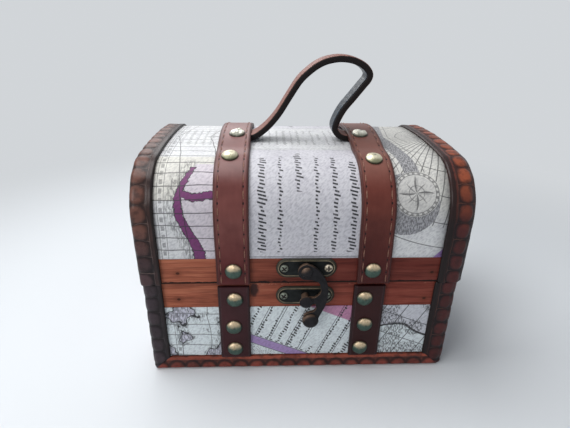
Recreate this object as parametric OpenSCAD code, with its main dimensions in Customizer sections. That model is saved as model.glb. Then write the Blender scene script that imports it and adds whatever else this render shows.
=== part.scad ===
// Hinged wooden chest for keeping money and keepsakes in: a stained board case and a
// domed lid, covered in map paper, edged in leather, with two studded straps, a carrying
// handle and a swing-hook latch. Millimetres. Front is -Y, up is +Z, and the origin is the
// centre of the case's underside.

/* [Case] */
// Width of the wooden case without its trims
case_w = 146.8; // [120:0.2:180]
// Depth of the wooden case without its trims
case_d = 102.2; // [85:0.2:130]
// Height of the case walls
case_h = 52.4; // [50:0.2:75]
// Thickness of the case and lid boards
board_t = 5; // [4:0.5:7]
// Thickness of the floor panel
floor_t = 3; // [2:0.5:6]

/* [Lid] */
// Gap at the parting line between case and lid
lid_gap = 0.4; // [0.3:0.05:0.6]
// How far the lid stands out past each side of the case
side_overhang = 0.9; // [0:0.1:2]
// How far the lid stands out past the front of the case
front_overhang = 1; // [0:0.1:2]
// Height of the lid's upright front and back boards
lid_wall_h = 32.2; // [28:0.2:45]
// Height of the dome above those boards
dome_h = 25; // [24.5:0.1:30]
// Radius of the dome's front and back shoulders
shoulder_r = 23.7; // [18:0.1:24]
// Thickness of the bent dome skin
skin_t = 3; // [2:0.5:4]

/* [Map paper] */
// Thickness of the glued map paper
paper_t = 0.4; // [0.2:0.1:0.8]
// Height of the bare wood band along the lid's lower edge
lid_band_h = 13.7; // [12:0.1:20]
// Height of the bare wood band along the case's upper edge
case_band_h = 13.9; // [12.8:0.1:20]
// Gap between the paper's edge and the trims
paper_gap = 0.2; // [0.1:0.1:0.5]

/* [Leather trims] */
// Width of the edge trims on each face
trim_w = 8.5; // [6:0.5:12]
// Thickness of the edge trims
trim_t = 1.6; // [1:0.1:2.5]
// Height of the base trims
base_trim_h = 8; // [6:0.5:11]

/* [Straps] */
// Distance between the centres of the two straps, on a case of the drawn width
strap_pitch = 66; // [58:0.2:74]
// Width of the straps on the lid
lid_strap_w = 15.6; // [12:0.2:18]
// Width of the straps on the case
case_strap_w = 15.2; // [12:0.2:18]
// Thickness of the strap leather
strap_t = 1.8; // [1.2:0.1:2.5]
// Distance from the lid's lower edge to the strap ends
lid_strap_inset = 0.5; // [0.3:0.1:2]
// Distance from the case's upper edge to the strap ends
case_strap_inset = 1.2; // [0.8:0.1:3]

/* [Studs] */
// Diameter of a stud's domed head
stud_d = 8; // [5:0.2:9]
// Height of a stud's head
stud_h = 2.2; // [1:0.1:2.6]
// Diameter of a stud's shank
shank_d = 1.5; // [1:0.1:2]
// Length of a stud's shank below its head
shank_l = 5; // [4:0.1:5.5]
// Height of the lowest stud on the case
low_stud_z = 14; // [13:0.5:18]
// Distance between the studs on the case
stud_pitch = 15; // [10:0.5:16]
// Height of the lid's lower studs above its lower edge
lid_stud_rise = 8.2; // [5:0.2:12]
// Angle of the shoulder studs from the vertical
shoulder_stud_angle = 16; // [12:1:60]

/* [Handle] */
// Width of the handle strip
handle_w = 11.5; // [8:0.5:14]
// Thickness of the handle strip
handle_t = 3.2; // [1.8:0.1:4]
// Distance of the handle in front of the case's centre
handle_front = 5.2; // [-8:0.2:8]
// Height of the handle's loop above its tabs
loop_h = 38.4; // [34:0.2:60]
// Length of handle tab under each strap, past the strap's centre
tab_past = 5; // [4:0.2:5.5]
// Length of the swelling that each strap makes over a tab
swell_l = 46; // [40:0.5:54]
// Distance of the swelling's middle behind the handle's centre
swell_back = 6.2; // [4:0.2:9]
// Diameter of the rivets that hold the tabs
rivet_d = 8; // [5:0.2:9]
// Height of a rivet's domed head
rivet_h = 1.8; // [0.8:0.1:2.4]
// Distance from a tab's front edge to the rivet's centre
rivet_inset = 1.6; // [1.6:0.1:5]

/* [Latch] */
// Distance of the latch right of the case's centre
latch_x = 2.2; // [-5:0.1:5]
// Length of the latch plate and the catch plate
plate_l = 28.5; // [26:0.5:34]
// Height of the two plates
plate_w = 10.3; // [9.5:0.1:11]
// Thickness of the two plates
plate_t = 1; // [0.6:0.1:1.2]
// Distance between a plate's two screws
screw_pitch = 20.8; // [19:0.2:22]
// Height of the pivot above the lid's lower edge
pivot_rise = 8.5; // [5.8:0.1:8.5]
// Distance of the catch post below the case's upper edge
post_drop = 7.2; // [6.8:0.1:7.6]
// Diameter of the hook's eye
eye_d = 8.4; // [8:0.1:9]
// Thickness of the hook
hook_t = 1.6; // [1.2:0.1:1.7]
// Distance of the hook's back from the latch plate
hook_standoff = 2; // [1.9:0.1:2.4]
// Running clearance of the hook on its pivot and past the post
hook_gap = 0.1; // [0.05:0.05:0.2]
// Diameter of the pivot's shank
pivot_d = 2.6; // [2:0.1:3]
// Diameter of the pivot's domed head
pivot_head_d = 5.4; // [4.6:0.2:6]
// Diameter of the catch post's neck
neck_d = 4; // [3:0.1:4.2]
// Diameter of the catch post's head
post_head_d = 6.2; // [5.6:0.1:6.4]
// Diameter of the hook's thumb tab
tab_d = 7.8; // [6:0.2:8]

/* [Hinges] */
// Distance between the centres of the two hinges, on a case of the drawn width
hinge_pitch = 105; // [98:1:110]
// Length of each hinge
hinge_l = 16; // [16:1:22]
// Height of each hinge leaf on its board
leaf_h = 9; // [7:0.5:11]
// Thickness of the hinge leaves
leaf_t = 0.8; // [0.6:0.1:1]
// Diameter of the hinge knuckles
knuckle_d = 3.2; // [2.6:0.1:3.4]
// Diameter of the hinge pins
pin_d = 1.6; // [1:0.1:1.8]
// Clearance of the pins in the knuckles, on each side
pin_fit = 0.05; // [0.05:0.05:0.1]
// Distance between one hinge body and the other body it turns past
hinge_gap = 0.4; // [0.3:0.05:0.5]

/* [Screws] */
// Diameter of the latch screw heads
screw_head_d = 4.2; // [3.6:0.1:4.4]
// Diameter of the hinge screw heads
hinge_screw_d = 2.8; // [2.4:0.1:3.2]
// Clearance of nails, rivets and screws in their holes, on each side
hole_fit = 0.05; // [0.05:0.05:0.1]

/* [Hidden] */
$fn = 64;

// ---- Places worked out from the sizes above ----
case_y = case_d / 2;                       // back face of the case, and front face as -case_y
case_x = case_w / 2;
lid_z = case_h + lid_gap;                  // lid's lower edge
lid_x = case_x + side_overhang;            // half width of the lid's boards
lid_d = case_d + front_overhang;
lid_y = -front_overhang / 2;               // centre of the lid's depth
lid_front = lid_y - lid_d / 2;
spring_z = lid_z + lid_wall_h;             // where the dome springs from its boards
dome_top = spring_z + dome_h;
lid_band_z = lid_z + lid_band_h;
case_band_z = case_h - case_band_h;
drawn_case_w = 146.8;                      // the pitches above are given for this width
spread = case_w / drawn_case_w;            // straps and hinges keep their share of the width
strap_x = strap_pitch / 2 * spread;
hinge_x = hinge_pitch / 2 * spread;
strap_out = paper_t + strap_t;             // outer face of a strap above the boards

// The dome is two shoulder arcs and one wide crown arc that meets them smoothly.
shoulder_y = lid_d / 2 - shoulder_r;
crown_r = (pow(dome_h, 2) - pow(shoulder_r, 2) + pow(shoulder_y, 2))
    / (2 * (dome_h - shoulder_r));
crown_z = dome_top - crown_r;
crown_angle = atan(shoulder_y / (spring_z - crown_z));
shoulder_steps = 20;
crown_steps = 12;

// Latch levels along Y, and heights of its pivot and post
pivot_z = lid_z + pivot_rise;
post_z = case_h - post_drop;
hook_back = lid_front - plate_t - hook_standoff;
hook_front = hook_back - hook_t;
post_y = -case_y - plate_t;
swing = pivot_z - post_z;                  // distance from the pivot down to the post

// Hinge axis and its knuckles
hinge_z = case_h + lid_gap / 2;
hinge_y = case_y + knuckle_d / 2 + hinge_gap;
knuckles = 5;
knuckle_space = 0.2;
knuckle_l = (hinge_l - (knuckles - 1) * knuckle_space) / knuckles;

big = 300;
cut = 1;                                   // how far a cutter runs past the face it leaves

// ---- Shared shapes ----

// A smooth curve through points, a few steps for each stretch
function blend(p, t) = 0.5 * (2 * p[1] + (p[2] - p[0]) * t
    + (2 * p[0] - 5 * p[1] + 4 * p[2] - p[3]) * t * t
    + (3 * p[1] - p[0] - 3 * p[2] + p[3]) * t * t * t);
function near(p, i) = p[min(max(i, 0), len(p) - 1)];
function smooth(p, steps) = concat([for (i = [0:len(p) - 2], s = [0:steps - 1])
    blend([near(p, i - 1), p[i], p[i + 1], near(p, i + 2)], s / steps)], [p[len(p) - 1]]);

// Outline of a strip of even thickness along a curve
function unit(v) = v / norm(v);
function sideways(p, i) = let (d = unit(near(p, i + 1) - near(p, i - 1))) [-d[1], d[0]];
function strip(p, t) = concat([for (i = [0:len(p) - 1]) p[i] + sideways(p, i) * t / 2],
    [for (i = [len(p) - 1:-1:0]) p[i] - sideways(p, i) * t / 2]);

module box(from, to) translate(from) cube(to - from);
module along_x(width) rotate([90, 0, 90]) linear_extrude(width, center = true) children();
module facing_front(x, y, z) translate([x, y, z]) rotate([90, 0, 0]) children();
module facing_back(x, y, z) translate([x, y, z]) rotate([-90, 0, 0]) children();
module each_strap() for (s = [-1, 1]) translate([s * strap_x, 0, 0]) children();
module each_hinge() for (s = [-1, 1]) translate([s * hinge_x, 0, 0]) children();
module above(z) translate([-big / 2, z]) square(big);

// Flat-backed dome on the XY plane
module dome(d, h) {
    r = (d * d / 4 + h * h) / (2 * h);
    intersection() {
        translate([0, 0, h - r]) sphere(r);
        translate([0, 0, h / 2]) cube([d + cut, d + cut, h], center = true);
    }
}

// Domed nail, rivet or post: head above the XY plane, shank below it
module nail(head_d, head_h, d, l) {
    dome(head_d, head_h);
    translate([0, 0, -l]) cylinder(d = d, h = l + head_h / 2);
}
module hole(d, l) translate([0, 0, -l]) cylinder(d = d + 2 * hole_fit, h = l + cut);

// Cross section of the lid, grown outwards from the face of its boards
function arc(c, r, from, to, n) = [for (i = [1:n]) let (a = from + (to - from) * i / n)
    c + r * [sin(a), cos(a)]];
module lid_profile(grow, from = lid_z) translate([lid_y, 0]) {
    half = lid_d / 2 + grow;
    shoulder = shoulder_r + grow;
    polygon(concat([[half, from], [half, spring_z]],
        arc([shoulder_y, spring_z], shoulder, 90, crown_angle, shoulder_steps),
        arc([0, crown_z], crown_r + grow, crown_angle, -crown_angle, crown_steps),
        arc([-shoulder_y, spring_z], shoulder, -crown_angle, -90, shoulder_steps),
        [[-half, from]]));
}
module lid_ring(inner, outer) difference() {
    lid_profile(outer);
    lid_profile(inner, lid_z - cut);
}

// Plate with round ends, lying on the XY plane
module round_plate(l, w, t) {
    for (s = [-1, 1]) translate([s * (l - w) / 2, 0, 0]) cylinder(d = w, h = t);
    translate([-(l - w) / 2, -w / 2, 0]) cube([l - w, w, t]);
}

// Round-headed screw with a cross in its head
module screw(head_d, head_h, d, l) difference() {
    nail(head_d, head_h, d, l);
    for (turn = [0, 90]) rotate([0, 0, turn + 45])
        translate([0, 0, head_h]) cube([head_d * 0.6, head_d * 0.14, head_h], center = true);
}

// ---- Places of the studs, rivets and screws, for both the pieces and their holes ----
stud_heights = [for (i = [0:2]) low_stud_z + i * stud_pitch];
stud_seat = strap_out;                     // studs sit on the straps

module case_stud_places_front() each_strap() for (z = stud_heights)
    facing_front(0, -case_y - stud_seat, z) children();
module case_stud_places_back() each_strap() for (z = stud_heights)
    facing_back(0, case_y + stud_seat, z) children();
module lid_stud_places_front() each_strap()
    facing_front(0, lid_front - stud_seat, lid_z + lid_stud_rise) children();
module lid_stud_places_back() each_strap()
    facing_back(0, case_y + stud_seat, lid_z + lid_stud_rise) children();
module shoulder_places() each_strap() translate([0, lid_y - shoulder_y, spring_z])
    rotate([shoulder_stud_angle, 0, 0]) translate([0, 0, shoulder_r + stud_seat]) children();
module latch_screw_places() for (s = [-1, 1])
    facing_front(latch_x + s * screw_pitch / 2, lid_front - plate_t, pivot_z) children();
module catch_screw_places() for (s = [-1, 1])
    facing_front(latch_x + s * screw_pitch / 2, post_y, post_z) children();
hinge_screw_x = hinge_l * 0.3;
module hinge_screw_places(side) each_hinge() for (s = [-1, 1])
    facing_back(s * hinge_screw_x, case_y + leaf_t, hinge_z + side * leaf_screw) children();
module stud_hole() hole(shank_d, shank_l + hole_fit);

screw_h = 1;                               // head height and shank of the latch screws
screw_shank = 1.8;
wood_left = 1;                             // wood left behind the point of a latch screw
screw_l = plate_t + board_t - wood_left;
hinge_screw_h = 0.6;                       // head height and shank of the hinge screws
hinge_screw_shank = 1.2;
hinge_wood_left = 1.5;                     // wood left behind the point of a hinge screw
hinge_screw_l = leaf_t + board_t - hinge_wood_left;
leaf_start = knuckle_d / 2 + hinge_gap;    // leaf edge's distance from the hinge axis
leaf_screw = leaf_start + leaf_h / 2;      // screw's distance from the hinge axis
skin_shank = shank_l - strap_out < skin_t ? shank_l : strap_out + skin_t - 0.2;

// ---- Case ----
module case_front_board() color("sienna") difference() {
    box([-case_x, -case_y, 0], [case_x, board_t - case_y, case_h]);
    case_stud_places_front() stud_hole();
    catch_screw_places() hole(screw_shank, screw_l);
    facing_front(latch_x, post_y, post_z) hole(pivot_d, plate_t + board_t);
}
module case_back_board() color("sienna") difference() {
    box([-case_x, case_y - board_t, 0], [case_x, case_y, case_h]);
    case_stud_places_back() stud_hole();
    hinge_screw_places(-1) hole(hinge_screw_shank, hinge_screw_l);
}
module case_side_board(s) color("sienna")
    translate([s * (case_x - board_t / 2), 0, case_h / 2])
        cube([board_t, case_d - 2 * board_t, case_h], center = true);
module case_left_board() case_side_board(-1);
module case_right_board() case_side_board(1);
module case_floor() color("peru")
    box([board_t - case_x, board_t - case_y, 0], [case_x - board_t, case_y - board_t, floor_t]);

// ---- Map paper on the case ----
paper_z = base_trim_h + paper_gap;
case_paper_x = case_x + trim_t - trim_w - paper_gap;
case_paper_y = case_y + trim_t - trim_w - paper_gap;
module front_paper() box([-case_paper_x, -case_y - paper_t, paper_z],
    [case_paper_x, -case_y, case_band_z]);
module side_paper() box([-case_x - paper_t, -case_paper_y, paper_z],
    [-case_x, case_paper_y, case_band_z]);
module case_front_map() color("gainsboro") difference() {
    front_paper();
    case_stud_places_front() stud_hole();
}
module case_back_map() color("gainsboro") difference() {
    mirror([0, 1, 0]) front_paper();
    case_stud_places_back() stud_hole();
}
module case_left_map() color("gainsboro") side_paper();
module case_right_map() color("gainsboro") mirror([1, 0, 0]) side_paper();

// ---- Leather trims on the case: a mitred frame at the foot and one angle up each corner ----
outer_x = case_x + trim_t;
outer_y = case_y + trim_t;
mitre_run = trim_w;                        // the mitre runs from the foot corner to here

module foot_strip(half, depth) intersection() {
    facing_front(0, -depth + trim_t, 0) linear_extrude(trim_t)
        polygon([[-half, 0], [half, 0], [half - mitre_run, base_trim_h],
            [mitre_run - half, base_trim_h]]);
    linear_extrude(base_trim_h) polygon([[-half, -depth], [half, -depth],
        [half - trim_t, trim_t - depth], [trim_t - half, trim_t - depth]]);
}
module base_trim_front() color("saddlebrown") foot_strip(outer_x, outer_y);
module base_trim_back() color("saddlebrown") mirror([0, 1, 0]) foot_strip(outer_x, outer_y);
module base_trim_left() color("saddlebrown") rotate([0, 0, -90]) foot_strip(outer_y, outer_x);
module base_trim_right() color("saddlebrown") rotate([0, 0, 90]) foot_strip(outer_y, outer_x);

// Cutter for a corner's flange: the front foot strip with its mitres carried on past it
mitre_slope = mitre_run / base_trim_h;
module foot_cutter(half, depth) facing_front(0, -depth + trim_t + cut, 0)
    linear_extrude(trim_t + 2 * cut) polygon([
        [-half - cut * mitre_slope, -cut], [half + cut * mitre_slope, -cut],
        [half - (base_trim_h + cut) * mitre_slope, base_trim_h + cut],
        [(base_trim_h + cut) * mitre_slope - half, base_trim_h + cut]]);
module corner_angle() difference() {
    union() {
        box([-outer_x, -outer_y, 0], [trim_w - outer_x, -case_y, case_h]);
        box([-outer_x, -outer_y, 0], [-case_x, trim_w - outer_y, case_h]);
    }
    foot_cutter(outer_x, outer_y);
    rotate([0, 0, -90]) foot_cutter(outer_y, outer_x);
}
module corner_trim_front_left() color("maroon") corner_angle();
module corner_trim_front_right() color("maroon") mirror([1, 0, 0]) corner_angle();
module corner_trim_back_left() color("maroon") mirror([0, 1, 0]) corner_angle();
module corner_trim_back_right() color("maroon") rotate([0, 0, 180]) corner_angle();

// ---- Straps and studs on the case ----
module case_strap(s) difference() {
    box([s * strap_x - case_strap_w / 2, -case_y - strap_out, paper_z],
        [s * strap_x + case_strap_w / 2, -case_y, case_h - case_strap_inset]);
    front_paper();
    case_stud_places_front() stud_hole();
}
module case_strap_front_left() color("brown") case_strap(-1);
module case_strap_front_right() color("brown") case_strap(1);
module case_strap_back_left() color("brown") mirror([0, 1, 0]) case_strap(-1);
module case_strap_back_right() color("brown") mirror([0, 1, 0]) case_strap(1);
module stud() color("darkkhaki") nail(stud_d, stud_h, shank_d, shank_l);
module case_studs_front() case_stud_places_front() stud();
module case_studs_back() case_stud_places_back() stud();

// ---- Catch on the case ----
module catch_plate() color("darkslategray") difference() {
    facing_front(latch_x, -case_y, post_z) round_plate(plate_l, plate_w, plate_t);
    catch_screw_places() hole(screw_shank, screw_l);
    facing_front(latch_x, post_y, post_z) hole(pivot_d, plate_t + board_t);
}
neck_l = post_y - hook_front + 2 * hook_gap;
post_head_h = 1.3;
module catch_post() color("darkslategray") facing_front(latch_x, post_y, post_z) {
    translate([0, 0, -plate_t - board_t]) cylinder(d = pivot_d, h = plate_t + board_t + cut);
    cylinder(d = neck_d, h = neck_l);
    translate([0, 0, neck_l]) cylinder(d = post_head_d, h = post_head_h * 0.6);
    translate([0, 0, neck_l + post_head_h * 0.6]) dome(post_head_d, post_head_h * 0.4);
}
module catch_screws() color("silver")
    catch_screw_places() screw(screw_head_d, screw_h, screw_shank, screw_l);

// ---- Hinges ----
module knuckle(i, gap = 0) translate([i * (knuckle_l + knuckle_space) - hinge_l / 2 - gap,
        hinge_y, hinge_z]) rotate([0, 90, 0]) children();

// One leaf with its share of the knuckles: side 1 is the lid's leaf, side -1 the case's
module leaf(side) difference() {
    union() {
        translate([-hinge_l / 2, case_y, hinge_z + (side > 0 ? leaf_start : -leaf_start - leaf_h)])
            cube([hinge_l, leaf_t, leaf_h]);
        for (i = [side > 0 ? 1 : 0:2:knuckles - 1]) {
            knuckle(i) cylinder(d = knuckle_d, h = knuckle_l);
            translate([i * (knuckle_l + knuckle_space) - hinge_l / 2, case_y,
                hinge_z + (side > 0 ? lid_gap : -leaf_start)])
                cube([knuckle_l, leaf_t, leaf_start - lid_gap]);
        }
    }
    knuckle(0, cut) cylinder(d = pin_d + 2 * pin_fit, h = hinge_l + 2 * cut);
    for (s = [-1, 1]) facing_back(s * hinge_screw_x, case_y + leaf_t,
        hinge_z + side * leaf_screw) hole(hinge_screw_shank, hinge_screw_l);
}
module hinge_at(s) color("goldenrod") translate([s * hinge_x, 0, 0]) children();
pin_head_h = 0.4;
module hinge_pin() {
    translate([-hinge_l / 2, hinge_y, hinge_z]) rotate([0, 90, 0]) {
        translate([0, 0, -pin_head_h]) cylinder(d = knuckle_d * 0.8, h = pin_head_h);
        cylinder(d = pin_d, h = hinge_l);
        translate([0, 0, hinge_l]) cylinder(d = knuckle_d * 0.8, h = pin_head_h);
    }
}
module hinge_left_case_leaf() hinge_at(-1) leaf(-1);
module hinge_right_case_leaf() hinge_at(1) leaf(-1);
module hinge_left_lid_leaf() hinge_at(-1) leaf(1);
module hinge_right_lid_leaf() hinge_at(1) leaf(1);
module hinge_left_pin() hinge_at(-1) hinge_pin();
module hinge_right_pin() hinge_at(1) hinge_pin();
module hinge_screw() color("silver")
    screw(hinge_screw_d, hinge_screw_h, hinge_screw_shank, hinge_screw_l);
module hinge_case_screws() hinge_screw_places(-1) hinge_screw();
module hinge_lid_screws() hinge_screw_places(1) hinge_screw();

// ---- Lid boards and skin ----
module lid_front_board() color("sienna") difference() {
    box([-lid_x, lid_front, lid_z], [lid_x, lid_front + board_t, spring_z]);
    lid_stud_places_front() stud_hole();
    latch_screw_places() hole(screw_shank, screw_l);
    facing_front(latch_x, hook_front, pivot_z) hole(pivot_d, -hook_front);
}
module lid_back_board() color("sienna") difference() {
    box([-lid_x, case_y - board_t, lid_z], [lid_x, case_y, spring_z]);
    lid_stud_places_back() stud_hole();
    hinge_screw_places(1) hole(hinge_screw_shank, hinge_screw_l);
}
module lid_end(s) color("sienna") translate([s * (lid_x - board_t / 2), 0, 0])
    along_x(board_t) {
        translate([lid_front + board_t, lid_z]) square([lid_d - 2 * board_t, lid_wall_h]);
        intersection() {
            lid_profile(-skin_t);
            above(spring_z);
        }
    }
module lid_left_end() lid_end(-1);
module lid_right_end() lid_end(1);
module lid_dome_skin() color("peru") difference() {
    along_x(2 * lid_x) intersection() {
        lid_ring(-skin_t, 0);
        above(spring_z);
    }
    shoulder_places() skin_hole();
    rivet_places() hole(rivet_shank, rivet_l);
}
module skin_hole() hole(shank_d, skin_shank + hole_fit);

// ---- Map paper and trims on the lid ----
lid_paper_x = lid_x + trim_t - trim_w - paper_gap;
module lid_map() color("gainsboro") difference() {
    along_x(2 * lid_paper_x) intersection() {
        lid_ring(0, paper_t);
        above(lid_band_z);
    }
    shoulder_places() skin_hole();
    rivet_places() hole(rivet_shank, rivet_l);
}
module lid_end_map(s) color("gainsboro") translate([s * (lid_x + paper_t / 2), 0, 0])
    along_x(paper_t) intersection() {
        lid_profile(trim_t - trim_w - paper_gap);
        above(lid_band_z);
    }
module lid_left_map() lid_end_map(-1);
module lid_right_map() lid_end_map(1);
module lid_trim(s) color("maroon") {
    translate([s * (lid_x + trim_t - trim_w / 2), 0, 0]) along_x(trim_w) lid_ring(0, trim_t);
    translate([s * (lid_x + trim_t / 2), 0, 0]) along_x(trim_t) lid_ring(trim_t - trim_w, trim_t);
}
module lid_trim_left() lid_trim(-1);
module lid_trim_right() lid_trim(1);

// ---- Straps, studs and rivets on the lid ----
tab_z = dome_top + paper_t;                // handle tabs lie on the paper
tab_fit = 0.1;                             // clearance of a tab in its strap
swell_h = handle_t + tab_fit;
swell_r = (pow(swell_l / 2, 2) + pow(swell_h, 2)) / (2 * swell_h);
swell_top = dome_top + strap_out + swell_h;
rivet_sink = 0.15;                         // head pulled into the swelling
rivet_turn = asin((swell_back + handle_w / 2 - rivet_inset) / swell_r);
rivet_seat = swell_top - swell_r + (swell_r - rivet_sink) * cos(rivet_turn);
rivet_shank = 1.8;
rivet_l = rivet_seat - dome_top + skin_t;
module rivet_places() each_strap() translate([0, swell_back - handle_front, swell_top - swell_r])
    rotate([rivet_turn, 0, 0]) translate([0, 0, swell_r - rivet_sink]) children();

module lid_strap(s) color("brown") difference() {
    translate([s * strap_x, 0, 0]) along_x(lid_strap_w) {
        intersection() {
            lid_ring(0, strap_out);
            above(lid_z + lid_strap_inset);
        }
        translate([swell_back - handle_front, 0]) intersection() {
            translate([0, swell_top - swell_r]) circle(swell_r, $fn = 180);
            above(dome_top);
        }
    }
    along_x(2 * lid_paper_x) intersection() {
        lid_profile(paper_t);
        above(lid_band_z);
    }
    tab_pocket(s);
    lid_stud_places_front() stud_hole();
    lid_stud_places_back() stud_hole();
    shoulder_places() skin_hole();
    rivet_places() {
        hole(rivet_shank, rivet_l);
        cylinder(d = rivet_d + 2 * hole_fit, h = big);
    }
}
module tab_pocket(s) translate([s * (strap_x - tab_past) - (s > 0 ? big : 0) + s * tab_end,
        -handle_front - handle_w / 2 - tab_fit, dome_top])
    cube([big, handle_w + 2 * tab_fit, paper_t + handle_t + tab_fit]);
tab_end = 2 * tab_past + tab_fit;
module lid_strap_left() lid_strap(-1);
module lid_strap_right() lid_strap(1);
module lid_studs_front() lid_stud_places_front() stud();
module lid_studs_back() lid_stud_places_back() stud();
module lid_studs_shoulder() color("darkkhaki")
    shoulder_places() nail(stud_d, stud_h, shank_d, skin_shank);
module handle_rivets() color("darkkhaki")
    rivet_places() nail(rivet_d, rivet_h, rivet_shank, rivet_l);

// ---- Carrying handle: a leather strip that leans to the right as it stands ----
// Its loop's centreline, drawn for one half gap between the straps and one loop height
loop_points = [[-25.2, 0], [-22.5, 0.9], [-19.7, 2.5], [-15.1, 6.5], [-10.2, 12.4],
    [-5.3, 20.2], [-0.2, 28], [4.5, 32.6], [9.1, 35.8], [13.7, 37.6], [19.5, 38.4],
    [25.6, 37.6], [30.6, 35.2], [33.4, 32], [33.2, 29.2], [30.9, 26.1], [26.5, 20.4],
    [22, 14.6], [19, 8.6], [18.3, 5], [19.8, 2.3], [22.9, 0.5], [27.7, 0]];
drawn_gap = 25.2;
drawn_loop = 38.4;
half_gap = strap_x - lid_strap_w / 2;
tab_x = strap_x + tab_past;
handle_line = concat([[-tab_x, 0]], [for (p = smooth(loop_points, 5))
    [p[0] * half_gap / drawn_gap, max(0, p[1]) * loop_h / drawn_loop]], [[tab_x, 0]]);
module carry_handle() color("saddlebrown") difference() {
    facing_front(0, -handle_front + handle_w / 2, tab_z + handle_t / 2)
        linear_extrude(handle_w) polygon(strip(handle_line, handle_t));
    rivet_places() hole(rivet_shank, rivet_l);
}

// ---- Latch on the lid ----
module latch_plate() color("darkslategray") difference() {
    union() {
        facing_front(latch_x, lid_front, pivot_z) round_plate(plate_l, plate_w, plate_t);
        facing_front(latch_x, lid_front, pivot_z)
            cylinder(d = pivot_head_d, h = plate_t + hook_standoff - hook_gap);
    }
    latch_screw_places() hole(screw_shank, screw_l);
    facing_front(latch_x, hook_front, pivot_z) hole(pivot_d, -hook_front);
}
pivot_head_h = 1.5;
module latch_pivot() color("darkslategray") facing_front(latch_x, hook_front - hook_gap, pivot_z)
    nail(pivot_head_d, pivot_head_h, pivot_d, lid_front + board_t - hook_front + hook_gap);
module latch_screws() color("silver")
    latch_screw_places() screw(screw_head_d, screw_h, screw_shank, screw_l);

// Hook outline about the pivot: the outer edge down to the thumb tab, then the inner edge
// up past the beak that closes round the catch post's neck
hook_outer = [[0, eye_d / 2], [3.2, 2.7], [5.8, 0.4], [8.4, -3.2], [10, -7.4], [10.4, -12],
    [9.7, -17.4], [7.9, -22.5], [6.6, -25.5]];
hook_under = [[-1.2, -25], [0.2, -23.6], [2, -22.8], [4, -22.1], [5.1, -20.2], [4.6, -18]];
hook_beak = [[1.4, -18.6], [1.4, -13.8]];
hook_inner = [[4.1, -14.2], [6.4, -12.1], [7, -9.6], [6.2, -6.6], [4, -4.6], [0, -eye_d / 2]];
thumb = [2.5, -27.5];                      // centre of the thumb tab
tab_raise = 0.6;                           // the tab's step above the hook, and its dome
tab_dome = 1;
drawn_swing = 16.1;                        // the outline above is drawn for this swing
neck_gap = 0.3;                            // clearance between the neck and the beak
module latch_hook() color("dimgray") facing_front(latch_x, hook_back, pivot_z) difference() {
    union() {
        linear_extrude(hook_t) {
            circle(d = eye_d);
            translate([0, drawn_swing - swing]) polygon(concat(smooth(hook_outer, 5),
                smooth(hook_under, 4), hook_beak, smooth(hook_inner, 4)));
        }
        translate([thumb[0], thumb[1] + drawn_swing - swing, 0]) {
            cylinder(d = tab_d, h = hook_t + tab_raise);
            translate([0, 0, hook_t + tab_raise]) dome(tab_d, tab_dome);
        }
    }
    translate([0, 0, -cut]) cylinder(d = pivot_d + 2 * hook_gap, h = hook_t + 2 * cut);
    translate([0, -swing, -cut]) cylinder(d = neck_d + 2 * neck_gap, h = hook_t + 2 * cut);
}

case_front_board();
case_back_board();
case_left_board();
case_right_board();
case_floor();
case_front_map();
case_back_map();
case_left_map();
case_right_map();
corner_trim_front_left();
corner_trim_front_right();
corner_trim_back_left();
corner_trim_back_right();
base_trim_front();
base_trim_back();
base_trim_left();
base_trim_right();
case_strap_front_left();
case_strap_front_right();
case_strap_back_left();
case_strap_back_right();
case_studs_front();
case_studs_back();
catch_plate();
catch_post();
catch_screws();
hinge_left_case_leaf();
hinge_right_case_leaf();
hinge_left_pin();
hinge_right_pin();
hinge_case_screws();
lid_front_board();
lid_back_board();
lid_left_end();
lid_right_end();
lid_dome_skin();
lid_map();
lid_left_map();
lid_right_map();
lid_trim_left();
lid_trim_right();
lid_strap_left();
lid_strap_right();
lid_studs_front();
lid_studs_shoulder();
lid_studs_back();
handle_rivets();
carry_handle();
latch_plate();
latch_pivot();
latch_screws();
hinge_left_lid_leaf();
hinge_right_lid_leaf();
hinge_lid_screws();
latch_hook();
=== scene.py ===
from math import atan2, ceil, cos, hypot, pi, radians, sin, sqrt

import bmesh
import bpy
from mathutils import Matrix, Vector, noise


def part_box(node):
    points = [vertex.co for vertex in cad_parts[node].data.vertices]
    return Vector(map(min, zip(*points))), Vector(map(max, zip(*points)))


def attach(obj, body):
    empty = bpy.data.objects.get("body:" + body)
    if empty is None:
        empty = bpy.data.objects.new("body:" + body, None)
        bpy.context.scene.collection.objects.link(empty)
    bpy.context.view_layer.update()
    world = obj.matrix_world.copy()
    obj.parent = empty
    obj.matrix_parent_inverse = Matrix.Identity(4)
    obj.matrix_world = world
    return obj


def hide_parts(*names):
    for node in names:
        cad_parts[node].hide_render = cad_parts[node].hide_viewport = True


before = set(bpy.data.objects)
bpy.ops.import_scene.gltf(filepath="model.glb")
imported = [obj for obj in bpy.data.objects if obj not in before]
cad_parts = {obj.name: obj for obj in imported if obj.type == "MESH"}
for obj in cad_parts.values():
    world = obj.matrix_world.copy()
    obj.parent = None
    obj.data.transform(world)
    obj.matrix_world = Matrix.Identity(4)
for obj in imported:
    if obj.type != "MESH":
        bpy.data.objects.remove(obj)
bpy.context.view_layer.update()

# ---- The stand: a pale table, soft studio lamps and the camera ----
# The chest stands free on a level, pale surface that runs up behind it without an edge.
# A wide lamp hangs above and to the left, others fill in from the front and the back.
MM = 0.001
VIEW_PIXELS, FOCAL_PIXELS = 570, 418.0
EYE = Vector((-15.24, -219.48, 165.78)) * MM
TURN_DEG, DOWN_DEG, ROLL_DEG = -2.405, 24.651, 0.813

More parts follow.
